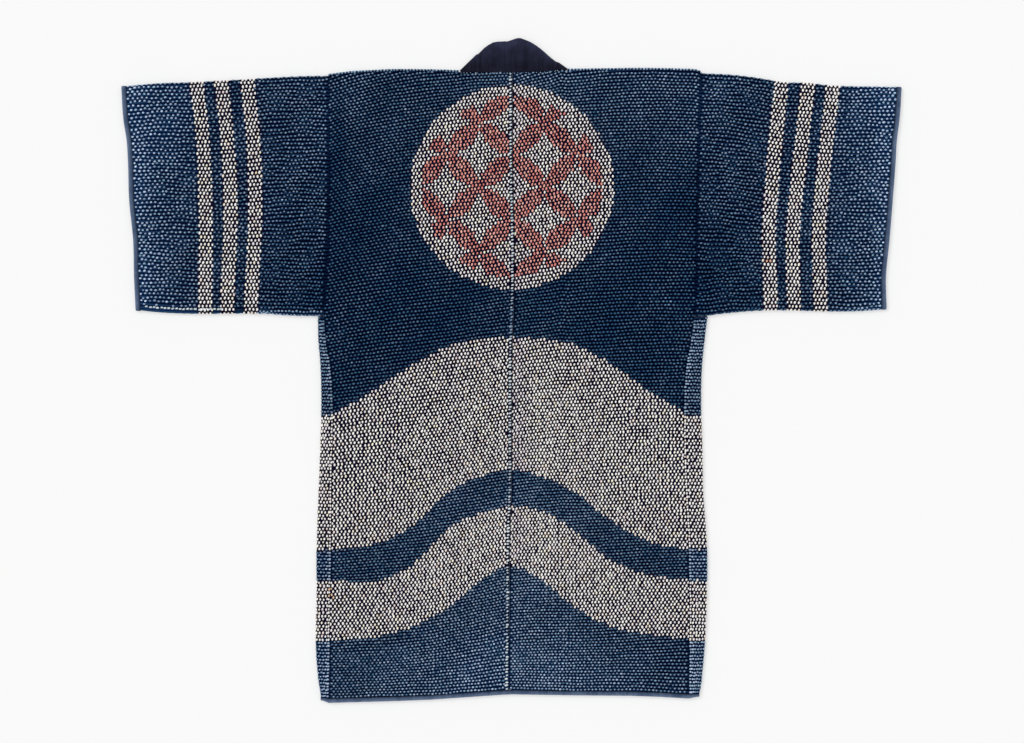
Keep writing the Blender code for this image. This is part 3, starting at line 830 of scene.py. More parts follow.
def shell(patches):
    """One closed body from patches of (outer grid, inner grid, values) that share their borders.

    The outer points that coincide are welded, the inner grids take the same numbers, and every edge that
    only one outer face has gets a face across to the inner side. Returns points, faces and the values,
    one row for each corner of each face.
    """
    outer = np.concatenate([p[0].reshape(-1, 3) for p in patches])
    inner = np.concatenate([p[1].reshape(-1, 3) for p in patches])
    values = np.concatenate([p[2].reshape(-1, p[2].shape[-1]) for p in patches])
    faces = []
    first = 0
    for grid, _, _ in patches:
        faces.append(grid_faces(*grid.shape[:2], first))
        first += grid.shape[0] * grid.shape[1]
    faces = np.concatenate(faces)
    _, keep, number = np.unique(np.round(outer, 3), axis=0, return_index=True, return_inverse=True)
    number = number.reshape(-1)
    welded = number[faces]
    edges = np.stack([welded, np.roll(welded, -1, axis=1)], axis=-1).reshape(-1, 2)
    corners = np.stack([faces, np.roll(faces, -1, axis=1)], axis=-1).reshape(-1, 2)
    key = np.sort(edges, axis=1)
    _, back, count = np.unique(key, axis=0, return_inverse=True, return_counts=True)
    open_edges = count[back.reshape(-1)] == 1
    edge, corner = edges[open_edges], corners[open_edges]
    total = len(keep)
    rim = np.stack([edge[:, 1], edge[:, 0], edge[:, 0] + total, edge[:, 1] + total], axis=1)
    rim_corner = np.stack([corner[:, 1], corner[:, 0], corner[:, 0], corner[:, 1]], axis=1)
    all_faces = np.concatenate([welded, welded[:, ::-1] + total, rim])
    all_corners = np.concatenate([faces, faces[:, ::-1], rim_corner])
    return np.concatenate([outer[keep], inner[keep]]), all_faces, values[all_corners.reshape(-1)]


def make_mesh(name, verts, faces, triangles=None):
    """Put points in millimetres and four-sided (and then three-sided) faces into a new mesh."""
    quads = np.asarray(faces, np.int32).reshape(-1, 4)
    tris = np.asarray([] if triangles is None else triangles, np.int32).reshape(-1, 3)
    corners = np.concatenate([quads.reshape(-1), tris.reshape(-1)])
    starts = np.concatenate([np.arange(len(quads)) * 4, len(quads) * 4 + np.arange(len(tris)) * 3])
    mesh = bpy.data.meshes.new(name)
    mesh.vertices.add(len(verts))
    mesh.vertices.foreach_set("co", (np.asarray(verts, float) * MM).astype(np.float32).reshape(-1))
    mesh.loops.add(len(corners))
    mesh.loops.foreach_set("vertex_index", corners.astype(np.int32))
    mesh.polygons.add(len(quads) + len(tris))
    mesh.polygons.foreach_set("loop_start", starts.astype(np.int32))
    mesh.update(calc_edges=True)
    mesh.validate()
    return mesh


def place(mesh, material, node):
    """Give a mesh an object of its own that rides on the coat, and let it stand for its node."""
    piece = bpy.data.objects.new(mesh.name, mesh)
    bpy.context.scene.collection.objects.link(piece)
    mesh.materials.append(material)
    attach(piece, BODY)
    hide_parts(node)
    return piece


def face_outwards(mesh):
    """Turn every face of a closed mesh to point out."""
    bm = bmesh.new()
    bm.from_mesh(mesh)
    bmesh.ops.recalc_face_normals(bm, faces=bm.faces)
    bm.to_mesh(mesh)
    bm.free()


def make_shell(name, patches, material, node):
    """A closed piece of cloth with its row map: stitches along, rows, the undyed share, and the wear with its
    painted shade.
    """
    verts, faces, values = shell(patches)
    mesh = make_mesh(name, verts, faces)
    uv = mesh.uv_layers.new(name="rows")
    uv.data.foreach_set("uv", values[:, :2].astype(np.float32).reshape(-1))
    for number, attribute in enumerate(("undyed", "wear_and_shade")):
        if values.shape[1] > number + 2:
            store = mesh.attributes.new(attribute, "FLOAT", "CORNER")
            store.data.foreach_set("value", values[:, number + 2].astype(np.float32))
    face_outwards(mesh)
    mesh.shade_smooth()
    mesh.set_sharp_from_angle(angle=math.radians(SMOOTH_ANGLE))
    return place(mesh, material, node)


def cloth_patch(surface, us, vs, stitches, rows, panel, side, rise=None, first_row=0.0, wear=0.0):
    """The outer and inner grid of a stretch of cloth, with its row map, its dye, and its wear with its painted
    shade.
    """
    u, v = np.meshgrid(us, vs)
    outer = surface(u, v)
    x, y = outer[..., 0], outer[..., 1]
    undyed = np.minimum(dye_class(panel, side, x, y), 1)
    row = v
    if rise is not None:
        passed, down = row_map()
        row = np.interp(v + rise(side, u, v) / BACK_LENGTH, down, passed)
    worn = wear_and_shade(panel, side, x, y) + wear
    values = np.stack([u * stitches, row * rows + first_row, undyed, worn], axis=-1)
    return outer, surface(u, v, SHELL), values


def lines_across(length, spacing, both_ends=True):
    """Places across a panel: even lines, with closer ones where the cloth dips into a seam."""
    close = np.array(SEAM_LINES) / length
    even = np.arange(11.0, length - 10.0, spacing) / length
    far = 1 - close[::-1] if both_ends else np.array([1.0])
    return np.concatenate([close, even, far])


# Stitches

def bean():
    """A closed bean of thread, along x, one unit long, wide and high: rings of six points and a short ridge.

    Points (r cos a, r sin a, h) with r 1 at the foot and 0.86 at h = 0.7, then (+-0.36, 0, 1).
    """
    angle = np.arange(6) * math.pi / 3
    ring = np.stack([np.cos(angle), np.sin(angle)], axis=1)
    foot = np.column_stack([ring, np.full(6, -0.25)])
    waist = np.column_stack([ring * 0.86, np.full(6, 0.7)])
    ridge = np.array([[0.36, 0.0, 1.0], [-0.36, 0.0, 1.0]])
    here = np.arange(6)
    following = (here + 1) % 6
    walls = np.stack([here, following, following + 6, here + 6], axis=1)
    crown = np.array([[7, 8, 13, 12], [10, 11, 12, 13]])
    base = np.array([[0, 5, 4, 1], [1, 4, 3, 2]])
    caps = np.array([[6, 7, 12], [8, 9, 13], [9, 10, 13], [11, 6, 12]])
    return np.concatenate([foot, waist, ridge]), np.concatenate([walls, crown, base]), caps


def plain_bean():
    """A closed bean with few faces, for the side that rests on the table."""
    corners = [[1.0, 0.0, -0.1], [0.0, 1.0, -0.1], [-1.0, 0.0, -0.1], [0.0, -1.0, -0.1]]
    verts = np.array(corners + [[0.0, 0.0, 0.9], [0.0, 0.0, -0.4]])
    caps = np.array([
        [0, 1, 4], [1, 2, 4], [2, 3, 4], [3, 0, 4], [1, 0, 5], [2, 1, 5], [3, 2, 5], [0, 3, 5],
    ])
    return verts, np.zeros((0, 4), int), caps


def brick(rows, count, crowding, rng, wander=1.0, spare=0):
    """Places of running stitches in bricks: rows by count, every second row a part of a stitch over.

    u = t + crowding sin(pi t) / pi with t = (i + 1/2 -+ shift / 2) / count, and v = (row + 1/2) / rows, both
    with a slow drift along each row and a little scatter. The shift itself wanders slowly over the cloth, so
    that the bricks lean into upright chains. Spare rows are laid beyond both ends.
    """
    row, number = np.mgrid[-spare:rows + spare, 0:count].astype(float)
    shift = BRICK_SHIFT + SHIFT_WANDER * np.sin(number / 9.0 + 1.0) * np.sin(row / 23.0)
    t = (number + 0.5 + shift * (row % 2 - 0.5) + rng.normal(0, PLACE_SPREAD, row.shape)) / count
    t = np.clip(t, 0.1 / count, 1 - 0.1 / count)
    sway = np.sin(2 * math.pi * 1.7 * t + row / 3.7) + 0.7 * np.sin(2 * math.pi * 4.1 * t - row / 2.3)
    drift = ROW_DRIFT * wander * sway + rng.normal(0, ROW_SPREAD * wander, row.shape)
    u = t + crowding * np.sin(math.pi * t) / math.pi
    return u.reshape(-1), ((row + 0.5 + drift) / rows).reshape(-1)


def on_slanted_rows(side, u, v):
    """Space the back's rows, let them climb and bow, and drop what falls beyond its edges or on a seam."""
    v = np.interp(v, *row_map())
    v = v - row_rise(side, u, np.clip(v, 0, 1)) / BACK_LENGTH
    inside = (v > ROWS_FROM) & (v < ROWS_TO)
    pale = dye_class("back", side, *back_plan(side, u, v)) > 0
    inside &= u * HALF_WIDTH > np.where(pale, SIDE_CLEAR[1], SIDE_CLEAR[0])
    inside &= (1 - u) * HALF_WIDTH > np.where(pale, CENTRE_CLEAR[side][1], CENTRE_CLEAR[side][0])
    return u[inside], v[inside]


def striped_rows(side, part, rows, spacing, rng):
    """Places of the stitches in a sleeve's stripes: so many to a row in each, every second row a part over.

    x is the stripe's middle line at y, plus (number - (count - 1) / 2 +- shift / 2) spacing. As y depends on
    how far out the stitch is, u is found from x in a few rounds.
    """
    row, stripe, number = (a.reshape(-1) for a in np.mgrid[0:rows, 0:3, 0:STRIPE_COUNT])
    v = (row + 0.5 + rng.normal(0, PLACE_SPREAD, len(row)) + 0.15 * np.sin(row / 3.7 + stripe)) / rows
    place_in = number - (STRIPE_COUNT - 1) / 2 + BRICK_SHIFT * (row % 2 - 0.5)
    off = (place_in + rng.normal(0, 0.05, len(row))) * spacing
    u = np.full(len(row), 0.5)
    for _ in range(4):
        _, y = sleeve_plan(side, u, down_sleeve(part, v))
        lines = [column(STRIPES[side], STRIPE_COLUMNS, name, y) for name in STRIPE_COLUMNS[1:]]
        seam = side_seam(side, y)
        u = (np.choose(stripe, lines) + off - seam) / (cuff_edge(side, y) - seam)
    return u, v


def off_stripes(side, part, rows, u, v):
    """Keep the sleeve's stitches that miss its stripes, its armhole seam and the plain fold of its bottom."""
    at = sleeve_surface(side, part, u, v)
    bare = (PLAIN_FOLD[0] < at[:, 0]) & (at[:, 0] < PLAIN_FOLD[1])
    bare &= (part == "low_fold") | ((part == "upper") & (v > 1 - 1.4 / rows))
    kept = ~in_stripes(side, at[:, 0], at[:, 1]) & (u * SLEEVE_LENGTH > SIDE_CLEAR[0]) & ~bare
    return u[kept], v[kept]


def pale_row(rng):
    """Places of the pale row near the bottom of the left sleeve, with a little scatter."""
    x = np.arange(*PALE_ROW, PALE_ROW_PITCH)
    x = x + rng.normal(0, 0.5, len(x))
    return (PALE_ROW_SEAM - x) / SLEEVE_LENGTH, PALE_ROW_DOWN + rng.normal(0, 0.0012, len(x))


def neck_dots(side, rng):
    """Places of the small stitches at the foot of the neckband, from the neck point to the centre seam."""
    neck = 1 - neck_share(side)
    count = int(neck * HALF_WIDTH / NECK_DOT_PITCH)
    u = 1 - neck * (np.arange(count) + 0.5 + rng.normal(0, 0.18, count)) / count
    return u, (NECK_DOT_DOWN + rng.normal(0, 0.25, count)) / BACK_LENGTH


def centre_column(rows, rng):
    """Places of the paler stitches along the centre seam, a row each, in two columns by turns."""
    v = (np.arange(rows) + 0.5) / rows + rng.normal(0, 0.0005, rows)
    by_turns = np.where(np.arange(rows) % 2 == 0, *CENTRE_COLUMNS)
    return 1 - (by_turns + rng.normal(0, 0.25, rows)) / HALF_WIDTH, v


def gusset_column(side, rows, rng):
    """Places of the paler stitches beside a gusset's seam, a row each."""
    v = (np.arange(1, rows) + 0.5 + rng.normal(0, 0.08, rows - 1)) / rows
    return (GUSSET_PALE_COLUMN + rng.normal(0, 0.3, rows - 1)) / gusset_width(side, v), v


def frames(surface, u, v, outward):
    """Point, direction along the row, and outward normal of a surface: cross product of its two slopes."""
    reach = 0.0015
    along = surface(u + reach, v) - surface(u - reach, v)
    across = surface(u, v + reach) - surface(u, v - reach)
    normal = np.cross(along, across)
    normal /= np.linalg.norm(normal, axis=1, keepdims=True)
    normal *= np.where((normal * np.asarray(outward)).sum(1) < 0, -1.0, 1.0)[:, None]
    along /= np.linalg.norm(along, axis=1, keepdims=True)
    return surface(u, v), along, normal


def bean_points(template, place_at, along, normal, length, width, height, turn):
    """Every bean's points: centre + l x (cos t A + sin t B) + w y (cos t B - sin t A) + h z N."""
    across = np.cross(normal, along)
    cosine, sine = np.cos(turn)[:, None], np.sin(turn)[:, None]
    lengthwise = (cosine * along + sine * across) * length[:, None]
    crosswise = (cosine * across - sine * along) * width[:, None]
    upright = normal * height[:, None]
    return (
        place_at[:, None, :]
        + template[None, :, 0, None] * lengthwise[:, None, :]
        + template[None, :, 1, None] * crosswise[:, None, :]
        + template[None, :, 2, None] * upright[:, None, :]
    )


def mix(a, b, share):
    """Colours a and b mixed, with one share for each row."""
    return np.asarray(a)[None, :] * (1 - share[:, None]) + np.asarray(b)[None, :] * share[:, None]


def thread_colours(kind, dye, worn, x, y, rng):
    """Each stitch's own colour: its dye, the wear of the place, a chance difference, marks of use and painted
    shade.
    """
    count = len(worn)
    chance = rng.normal(0, 1, count)
    # Painted shade: slow streaks across x make the undyed and the red stitches darker and lighter by turns
    streak_and_shade = np.sin(x / 11.0) * np.sin(x / 37.0 + 0.6)
    if kind == "blue":
        share = np.clip(worn * (1 + 0.22 * chance) + 0.06 * chance, 0, 1.3)
        colours = mix(dye.indigo, dye.worn_indigo, share)
        for part, tint in (TEAL_THREADS, BRIGHT_THREADS):
            colours[rng.uniform(0, 1, count) < part] *= tint
    elif kind == "undyed":
        # Painted shadow: a darker band just right of the centre seam, bell(x - 8, 7); the chance share is own
        # tone
        share = 0.13 + 0.12 * streak_and_shade + 0.35 * bell(x - 8.0, 7.0) + 0.22 * chance
        colours = mix(dye.undyed, dye.undyed_shade, np.clip(share, 0, 1))
        warm = rng.uniform(0, 1, count)
        colours[warm < ROSY_THREADS[0]] *= ROSY_THREADS[1]
        colours[warm > 1 - CREAM_THREADS[0]] *= CREAM_THREADS[1]
    elif kind == "red":
        colours = mix(dye.red, dye.worn_red, np.clip(0.42 + 0.12 * streak_and_shade + 0.3 * chance, 0, 1))
    else:
        share = np.clip(0.04 + 0.92 * worn + 0.15 * chance, 0, 1)
        colours = mix(dye.seam_thread, dye.worn_seam_thread, share)
    for mark_x, mark_y, reach, tint in MARKS:
        near = (bell(np.hypot(x - mark_x, y - mark_y), reach) > 0.3)[:, None]
        colours = np.where(near, colours * np.asarray(tint), colours)
    return np.clip(colours, 0.002, 0.97)


class Quilting:
    """Gathers the beans of one panel by kind of thread, and makes a joined mesh of each."""

    def __init__(self, node, slot, settings, dye, rng):
        self.node = node
        self.slot = slot
        self.settings = settings
        self.dye = dye
        self.rng = rng
        self.gathered = {}

    def lay(self, surface, u, v, outward, kind, worn_at, scale=1.0, plain=False):
        """Lay stitches at u, v on a surface, all of one named kind, or each as the dye at its place asks."""
        at, along, normal = frames(surface, u, v, outward)
        scale = np.broadcast_to(scale, len(u))
        named = isinstance(kind, str)
        codes = np.zeros(len(u), int) if named else kind(at[:, 0], at[:, 1])
        worn = worn_at(at[:, 0], at[:, 1])
        verts, quads, tris = plain_bean() if plain else bean()
        rng = self.rng
        for code in np.unique(codes):
            chosen = codes == code
            thread_kind = kind if named else KIND[int(code)]
            count = int(chosen.sum())
            length, width, height, turn = STITCH[thread_kind]
            size = scale[chosen] * rng.normal(1, SIZE_SPREAD, count)
            angle = np.radians(turn + rng.normal(0, TURN_SPREAD, count))
            beans = bean_points(
                verts, at[chosen], along[chosen], normal[chosen],
                length * size * rng.normal(1, SIZE_SPREAD, count), width * size,
                height * self.settings.height * rng.normal(1, SIZE_SPREAD, count), angle,
            )
            beans[..., 2] = np.maximum(beans[..., 2], FLOOR_CLEAR)
            colours = thread_colours(thread_kind, self.dye, worn[chosen], at[chosen, 0], at[chosen, 1], rng)
            shift = (np.arange(count) * len(verts))[:, None, None]
            self.gathered.setdefault(thread_kind, []).append((
                beans.reshape(-1, 3),
                (quads[None] + shift).reshape(-1, 4),
                (tris[None] + shift).reshape(-1, 3),
                np.repeat(colours, len(verts), axis=0),
            ))

    def finish(self, materials):
        """Join what was laid into one mesh for each kind of thread."""
        for kind, parts in self.gathered.items():
            first = np.cumsum([0] + [len(p[0]) for p in parts[:-1]])
            verts = np.concatenate([p[0] for p in parts])
            quads = np.concatenate([p[1] + f for p, f in zip(parts, first)])
            tris = np.concatenate([p[2] + f for p, f in zip(parts, first)])
            colours = np.concatenate([p[3] for p in parts])
            mesh = make_mesh(f"{self.node}_{kind}_stitches", verts, quads, tris)
            store = mesh.color_attributes.new("dye", "FLOAT_COLOR", "POINT")
            rgba = np.column_stack([colours, np.ones(len(colours))]).astype(np.float32)
            store.data.foreach_set("color", rgba.reshape(-1))
            mesh.shade_smooth()
            place(mesh, materials[kind], self.node)


# Materials

def new_material(name, settings):
    """A material with its tree and its shader, whose sockets take the settings."""
    material = bpy.data.materials.new(name)
    material.use_nodes = True
    tree = material.node_tree
    shader = tree.nodes["Principled BSDF"]
    for socket, value in settings.items():
        shader.inputs[socket].default_value = value
    return material, tree, shader


def node(tree, kind, inputs=(), **settings):
    """Add a node, set its properties, and set or link its inputs."""
    made = tree.nodes.new(kind)
    for name, value in settings.items():
        setattr(made, name, value)
    for key, value in dict(inputs).items():
        socket = made.inputs[key]
        if isinstance(value, bpy.types.NodeSocket):
            tree.links.new(value, socket)
        else:
            socket.default_value = value
    return made


def math_node(tree, operation, *values):
    """One sum of values or sockets."""
    return node(tree, "ShaderNodeMath", enumerate(values), operation=operation).outputs[0]


def mix_colour(tree, share, a, b, blend="MIX"):
    """Mix two colours or sockets by a share."""
    a, b = (value if isinstance(value, bpy.types.NodeSocket) else (*value, 1.0) for value in (a, b))
    return node(tree, "ShaderNodeMix", {0: share, 6: a, 7: b}, data_type="RGBA", blend_type=blend).outputs[2]


def map_range(tree, value, start, end, to_start, to_end):
    """Read a value between start and end as one between to_start and to_end."""
    return node(tree, "ShaderNodeMapRange", {
        "Value": value, "From Min": start, "From Max": end, "To Min": to_start, "To Max": to_end,
    }).outputs[0]


def row_map_sockets(tree):
    """The two sockets of the cloth's row map: along a row, and across the rows."""
    rows = node(tree, "ShaderNodeUVMap", uv_map="rows").outputs[0]
    split = node(tree, "ShaderNodeSeparateXYZ", {0: rows})
    return split.outputs["X"], split.outputs["Y"]


def stored(tree, name, output="Fac"):
    """Read a value that is stored on the mesh."""
    return node(tree, "ShaderNodeAttribute", attribute_name=name).outputs[output]


def object_noise(tree, scale, detail=3.0, roughness=0.55, stretch=None):
    """Noise on object coordinates, with an optional stretch along the axes."""
    place_at = node(tree, "ShaderNodeTexCoord").outputs["Object"]
    if stretch:
        place_at = node(tree, "ShaderNodeMapping", {"Vector": place_at, "Scale": stretch}).outputs[0]
    made = node(tree, "ShaderNodeTexNoise", {
        "Vector": place_at, "Scale": scale, "Detail": detail, "Roughness": roughness,
    })
    return made.outputs["Fac"]


def bump(tree, height, distance, strength=1.0, before=None):
    """A bump node over another one."""
    inputs = {"Height": height, "Distance": distance, "Strength": strength}
    if before is not None:
        inputs["Normal"] = before
    return node(tree, "ShaderNodeBump", inputs).outputs[0]


def quilted_cloth(name, dye):
    """Dyed cotton drawn into rows: near black between them and blue along them.

    The cord (1 - cos(2 pi row)) / 2 is 1 along a row and 0 between rows. Where undyed thread lies, the cloth
    is darker: a near-black ground that is partly its own colour and partly painted shade between the stitches.
    """
    material, tree, shader = new_material(name, {"Roughness": 0.95, "Specular IOR Level": 0.02})
    _, row = row_map_sockets(tree)
    turn = math_node(tree, "MULTIPLY", row, 2 * math.pi)
    cord = math_node(tree, "MULTIPLY_ADD", math_node(tree, "COSINE", turn), -0.5, 0.5)
    fine = object_noise(tree, 900.0, 2.0)
    slow = object_noise(tree, 22.0, 3.0)
    worn = stored(tree, "wear_and_shade")
    row_blue = mix_colour(tree, worn, dye.row, dye.worn_row)
    gap_blue = mix_colour(tree, math_node(tree, "POWER", worn, 2.5), dye.gap, dye.worn_gap)
    blue = mix_colour(tree, math_node(tree, "POWER", cord, 2.2), gap_blue, row_blue)
    # Between undyed stitches the near-black ground is partly the cloth's colour, partly painted shade
    ground_and_shade = mix_colour(tree, stored(tree, "undyed"), blue, dye.ground_and_shade)
    spread = map_range(tree, math_node(tree, "ADD", fine, slow), 0.6, 1.4, 0.7, 1.25)
    tree.links.new(mix_colour(tree, 1.0, ground_and_shade, spread, "MULTIPLY"), shader.inputs["Base Color"])
    weave = bump(tree, fine, 0.0003, 0.8)
    tree.links.new(bump(tree, cord, 0.0007, 1.0, weave), shader.inputs["Normal"])
    return material


def thread(name, roughness, sheen):
    """Cotton thread: each stitch's own colour, with a fine fibre in its shade and in the surface."""
    material, tree, shader = new_material(name, {
        "Roughness": roughness, "Sheen Weight": sheen, "Sheen Roughness": 0.4, "Specular IOR Level": 0.12,
    })
    fibre = object_noise(tree, 1400.0, 2.0, 0.6, (1.0, 1.6, 1.0))
    shade = map_range(tree, fibre, 0.3, 0.7, 0.88, 1.12)
    own = stored(tree, "dye", "Color")
    tree.links.new(mix_colour(tree, 1.0, own, shade, "MULTIPLY"), shader.inputs["Base Color"])
    tree.links.new(bump(tree, fibre, 0.0002, 0.7), shader.inputs["Normal"])
    return material


def plain_weave(name, colour, worn_colour, ribs, worn_edge, foot_painted_shadow):
    """Plain woven cotton strip: ribs across it, threads along it, a worn folded edge and painted shadow at its
    foot.
    """
    material, tree, shader = new_material(name, {
        "Roughness": 0.85, "Sheen Weight": 0.04, "Sheen Roughness": 0.45, "Specular IOR Level": 0.08,
    })
    length, width = row_map_sockets(tree)
    along = math_node(tree, "SINE", math_node(tree, "MULTIPLY", length, ribs))
    across = math_node(tree, "SINE", math_node(tree, "MULTIPLY", width, ribs * 0.8))
    weave = math_node(tree, "MULTIPLY", along, across)
    cloud = object_noise(tree, 60.0, 4.0, 0.6)
    streak_and_shade = object_noise(tree, 260.0, 2.0, 0.5, (1.0, 0.08, 1.0))
    rim = stored(tree, "undyed")
    wear = math_node(tree, "MULTIPLY", math_node(tree, "POWER", rim, 3.0), worn_edge)
    wear = math_node(tree, "MULTIPLY", wear, math_node(tree, "MULTIPLY", cloud, 1.8))
    patchy = map_range(tree, math_node(tree, "ADD", cloud, streak_and_shade), 0.75, 1.3, 0.0, 0.45)
    share = math_node(tree, "MINIMUM", math_node(tree, "ADD", wear, patchy), 1.0)
    dyed = mix_colour(tree, share, colour, worn_colour)
    # Painted shadow: the strip darkens towards its foot, where it meets the quilted cloth
    foot = map_range(tree, rim, 0.05, 0.4, foot_painted_shadow, 1.0)
    dyed = mix_colour(tree, 1.0, dyed, foot, "MULTIPLY")
    ribbed = map_range(tree, along, -1.0, 1.0, 0.78, 1.15)
    tree.links.new(mix_colour(tree, 1.0, dyed, ribbed, "MULTIPLY"), shader.inputs["Base Color"])
    tree.links.new(bump(tree, weave, 0.00025, 0.8, bump(tree, cloud, 0.0008, 0.5)), shader.inputs["Normal"])
    return material


def stage_material(colour, glow):
    """Matt pale sheet under the coat, lit from below by a share of its brightness to soften the shadows."""
    material, _, _ = new_material("pale_floor", {
        "Roughness": 0.95, "Specular IOR Level": 0.1,
        "Base Color": (*(part * (1 - glow) for part in colour), 1.0),
        "Emission Color": (*colour, 1.0), "Emission Strength": glow,
    })
    return material


def thread_materials():
    """The threads by kind, made once."""
    return {
        kind: bpy.data.materials.get(kind + "_thread") or thread(kind + "_thread", roughness, sheen)
        for kind, (roughness, sheen) in THREADS.items()
    }


# Ribbons: folded strips

def ribbon_patch(path, out, up, width, thickness, cloth):
    """A strip folded over: two flat walls joined by a half round free edge, carried along a path.

    Section points are (w, -t/2), an arc of radius t/2 about (width - t/2, 0), and (w, +t/2), with w along out
    and t along up; the inner face has the same centre lines and t less twice the cloth.
    """
    flat = np.linspace(0, 1, FLAT_STEPS + 1)[:-1]
    arc = np.linspace(-math.pi / 2, math.pi / 2, TURN_STEPS + 1)
    width = np.broadcast_to(width, (len(path),))[:, None]

    def face(half):
        run = width - thickness / 2
        over = np.concatenate([run * flat, run + half * np.cos(arc), (run * flat)[:, ::-1]], axis=1)
        rise = np.concatenate([np.full(len(flat), -half), half * np.sin(arc), np.full(len(flat), half)])
        return path[:, None, :] + out[:, None, :] * over[:, :, None] + up[:, None, :] * rise[None, :, None]

    outer = face(thickness / 2)
    leaps = np.linalg.norm(np.diff(path + out * width / 2, axis=0), axis=1)
    travelled = np.concatenate([[0.0], np.cumsum(leaps)])
    section = np.concatenate([width * flat, width + arc, (width * flat)[:, ::-1] + 2 * thickness], axis=1)
    edge = np.concatenate([flat, np.ones(len(arc)), flat[::-1]])
    values = np.stack(np.broadcast_arrays(travelled[:, None], section, edge[None, :], 0.0), axis=-1)
    return outer, face(thickness / 2 - cloth), values


def hem_path():
    """Path, direction out, direction up and width of the hem binding.

    It runs along the left front, round the side, across the back, round the other side and along the right
    front, and narrows to a rounded corner at each side.
    """
    share = np.linspace(0, 1, HEM_STATIONS)
    at_hem = np.ones(HEM_STATIONS)
    under, over = -math.pi / 2, math.pi / 2
    runs = []

    def flat_run(x, y, height, angle):
        """A level stretch along a panel's lower edge."""
        runs.append((x, y, np.full_like(x, height), np.full_like(x, angle)))

    def turn_under(side, angles):
        """The half turn round a gusset's rim."""
        _, (rim_x, rim_y) = gusset_hem(side)
        ring = BINDING_MIDDLE + BINDING_RADIUS * np.sin(angles)
        runs.append((rim_x + BINDING_RADIUS * np.cos(angles), np.full_like(angles, rim_y), ring, angles))

    flat_run(*[a[::-1] for a in front_plan("left", share, at_hem)], BINDING_LOW, under)
    turn_under("left", np.linspace(under, -math.pi - over, TURN_STEPS + 1))
    flat_run(*[a[:-1] for a in back_plan("left", share, at_hem)], BINDING_HIGH, over)
    flat_run(*[a[::-1][1:] for a in back_plan("right", share, at_hem)], BINDING_HIGH, over)
    turn_under("right", np.linspace(over, under, TURN_STEPS + 1))
    flat_run(*front_plan("right", share, at_hem), BINDING_LOW, under)
    x, y, z, angle = (np.concatenate([r[i] for r in runs]) for i in range(4))
    ripple = HEM_RIPPLE * np.sin(x / 3.1) * np.sin(x / 17.0)
    path = points(x, y - BINDING_GAP + ripple, z)
    rim = np.where(x < 0, gusset_hem("left")[1][0], gusset_hem("right")[1][0])
    width = HEM_BINDING - HEM_CORNER * bell(x - rim, 1.5 * HEM_CORNER)
    up = points(np.cos(angle), 0.0, np.sin(angle))
    return path, np.broadcast_to([0.0, -1.0, 0.0], path.shape), up, width


def cuff_path(side):
    """Round the sleeve's opening, pressed flat with it."""
    sign = outward_sign(side)
    radius = BINDING_RADIUS
    top_y = float(sleeve_edge(side, "top", 1.0)) - radius - BINDING_LOW
    bottom_y = float(sleeve_edge(side, "bottom", 1.0)) + radius + BINDING_LOW
    upper = np.linspace(top_y, bottom_y, CUFF_STATIONS)
    flat = np.full(CUFF_STATIONS, 1.0)
    lower_turn = np.linspace(math.pi / 2, 3 * math.pi / 2, TURN_STEPS + 1)[1:-1]
    upper_turn = np.linspace(-math.pi / 2, math.pi / 2, TURN_STEPS + 1)[1:-1]
    y = np.concatenate([
        upper, bottom_y + radius * np.cos(lower_turn), upper[::-1], top_y + radius * np.cos(upper_turn),
    ])
    angle = np.concatenate([flat * math.pi / 2, lower_turn, -flat * math.pi / 2, upper_turn])
    path = points(cuff_edge(side, y) + sign * BINDING_GAP, y, BINDING_MIDDLE + radius * np.sin(angle))
    up = points(0.0, np.cos(angle), np.sin(angle))
    path, up = (np.concatenate([a, a[:1]]) for a in (path, up))
    return path, np.broadcast_to([sign, 0.0, 0.0], path.shape), up, CUFF_BINDING


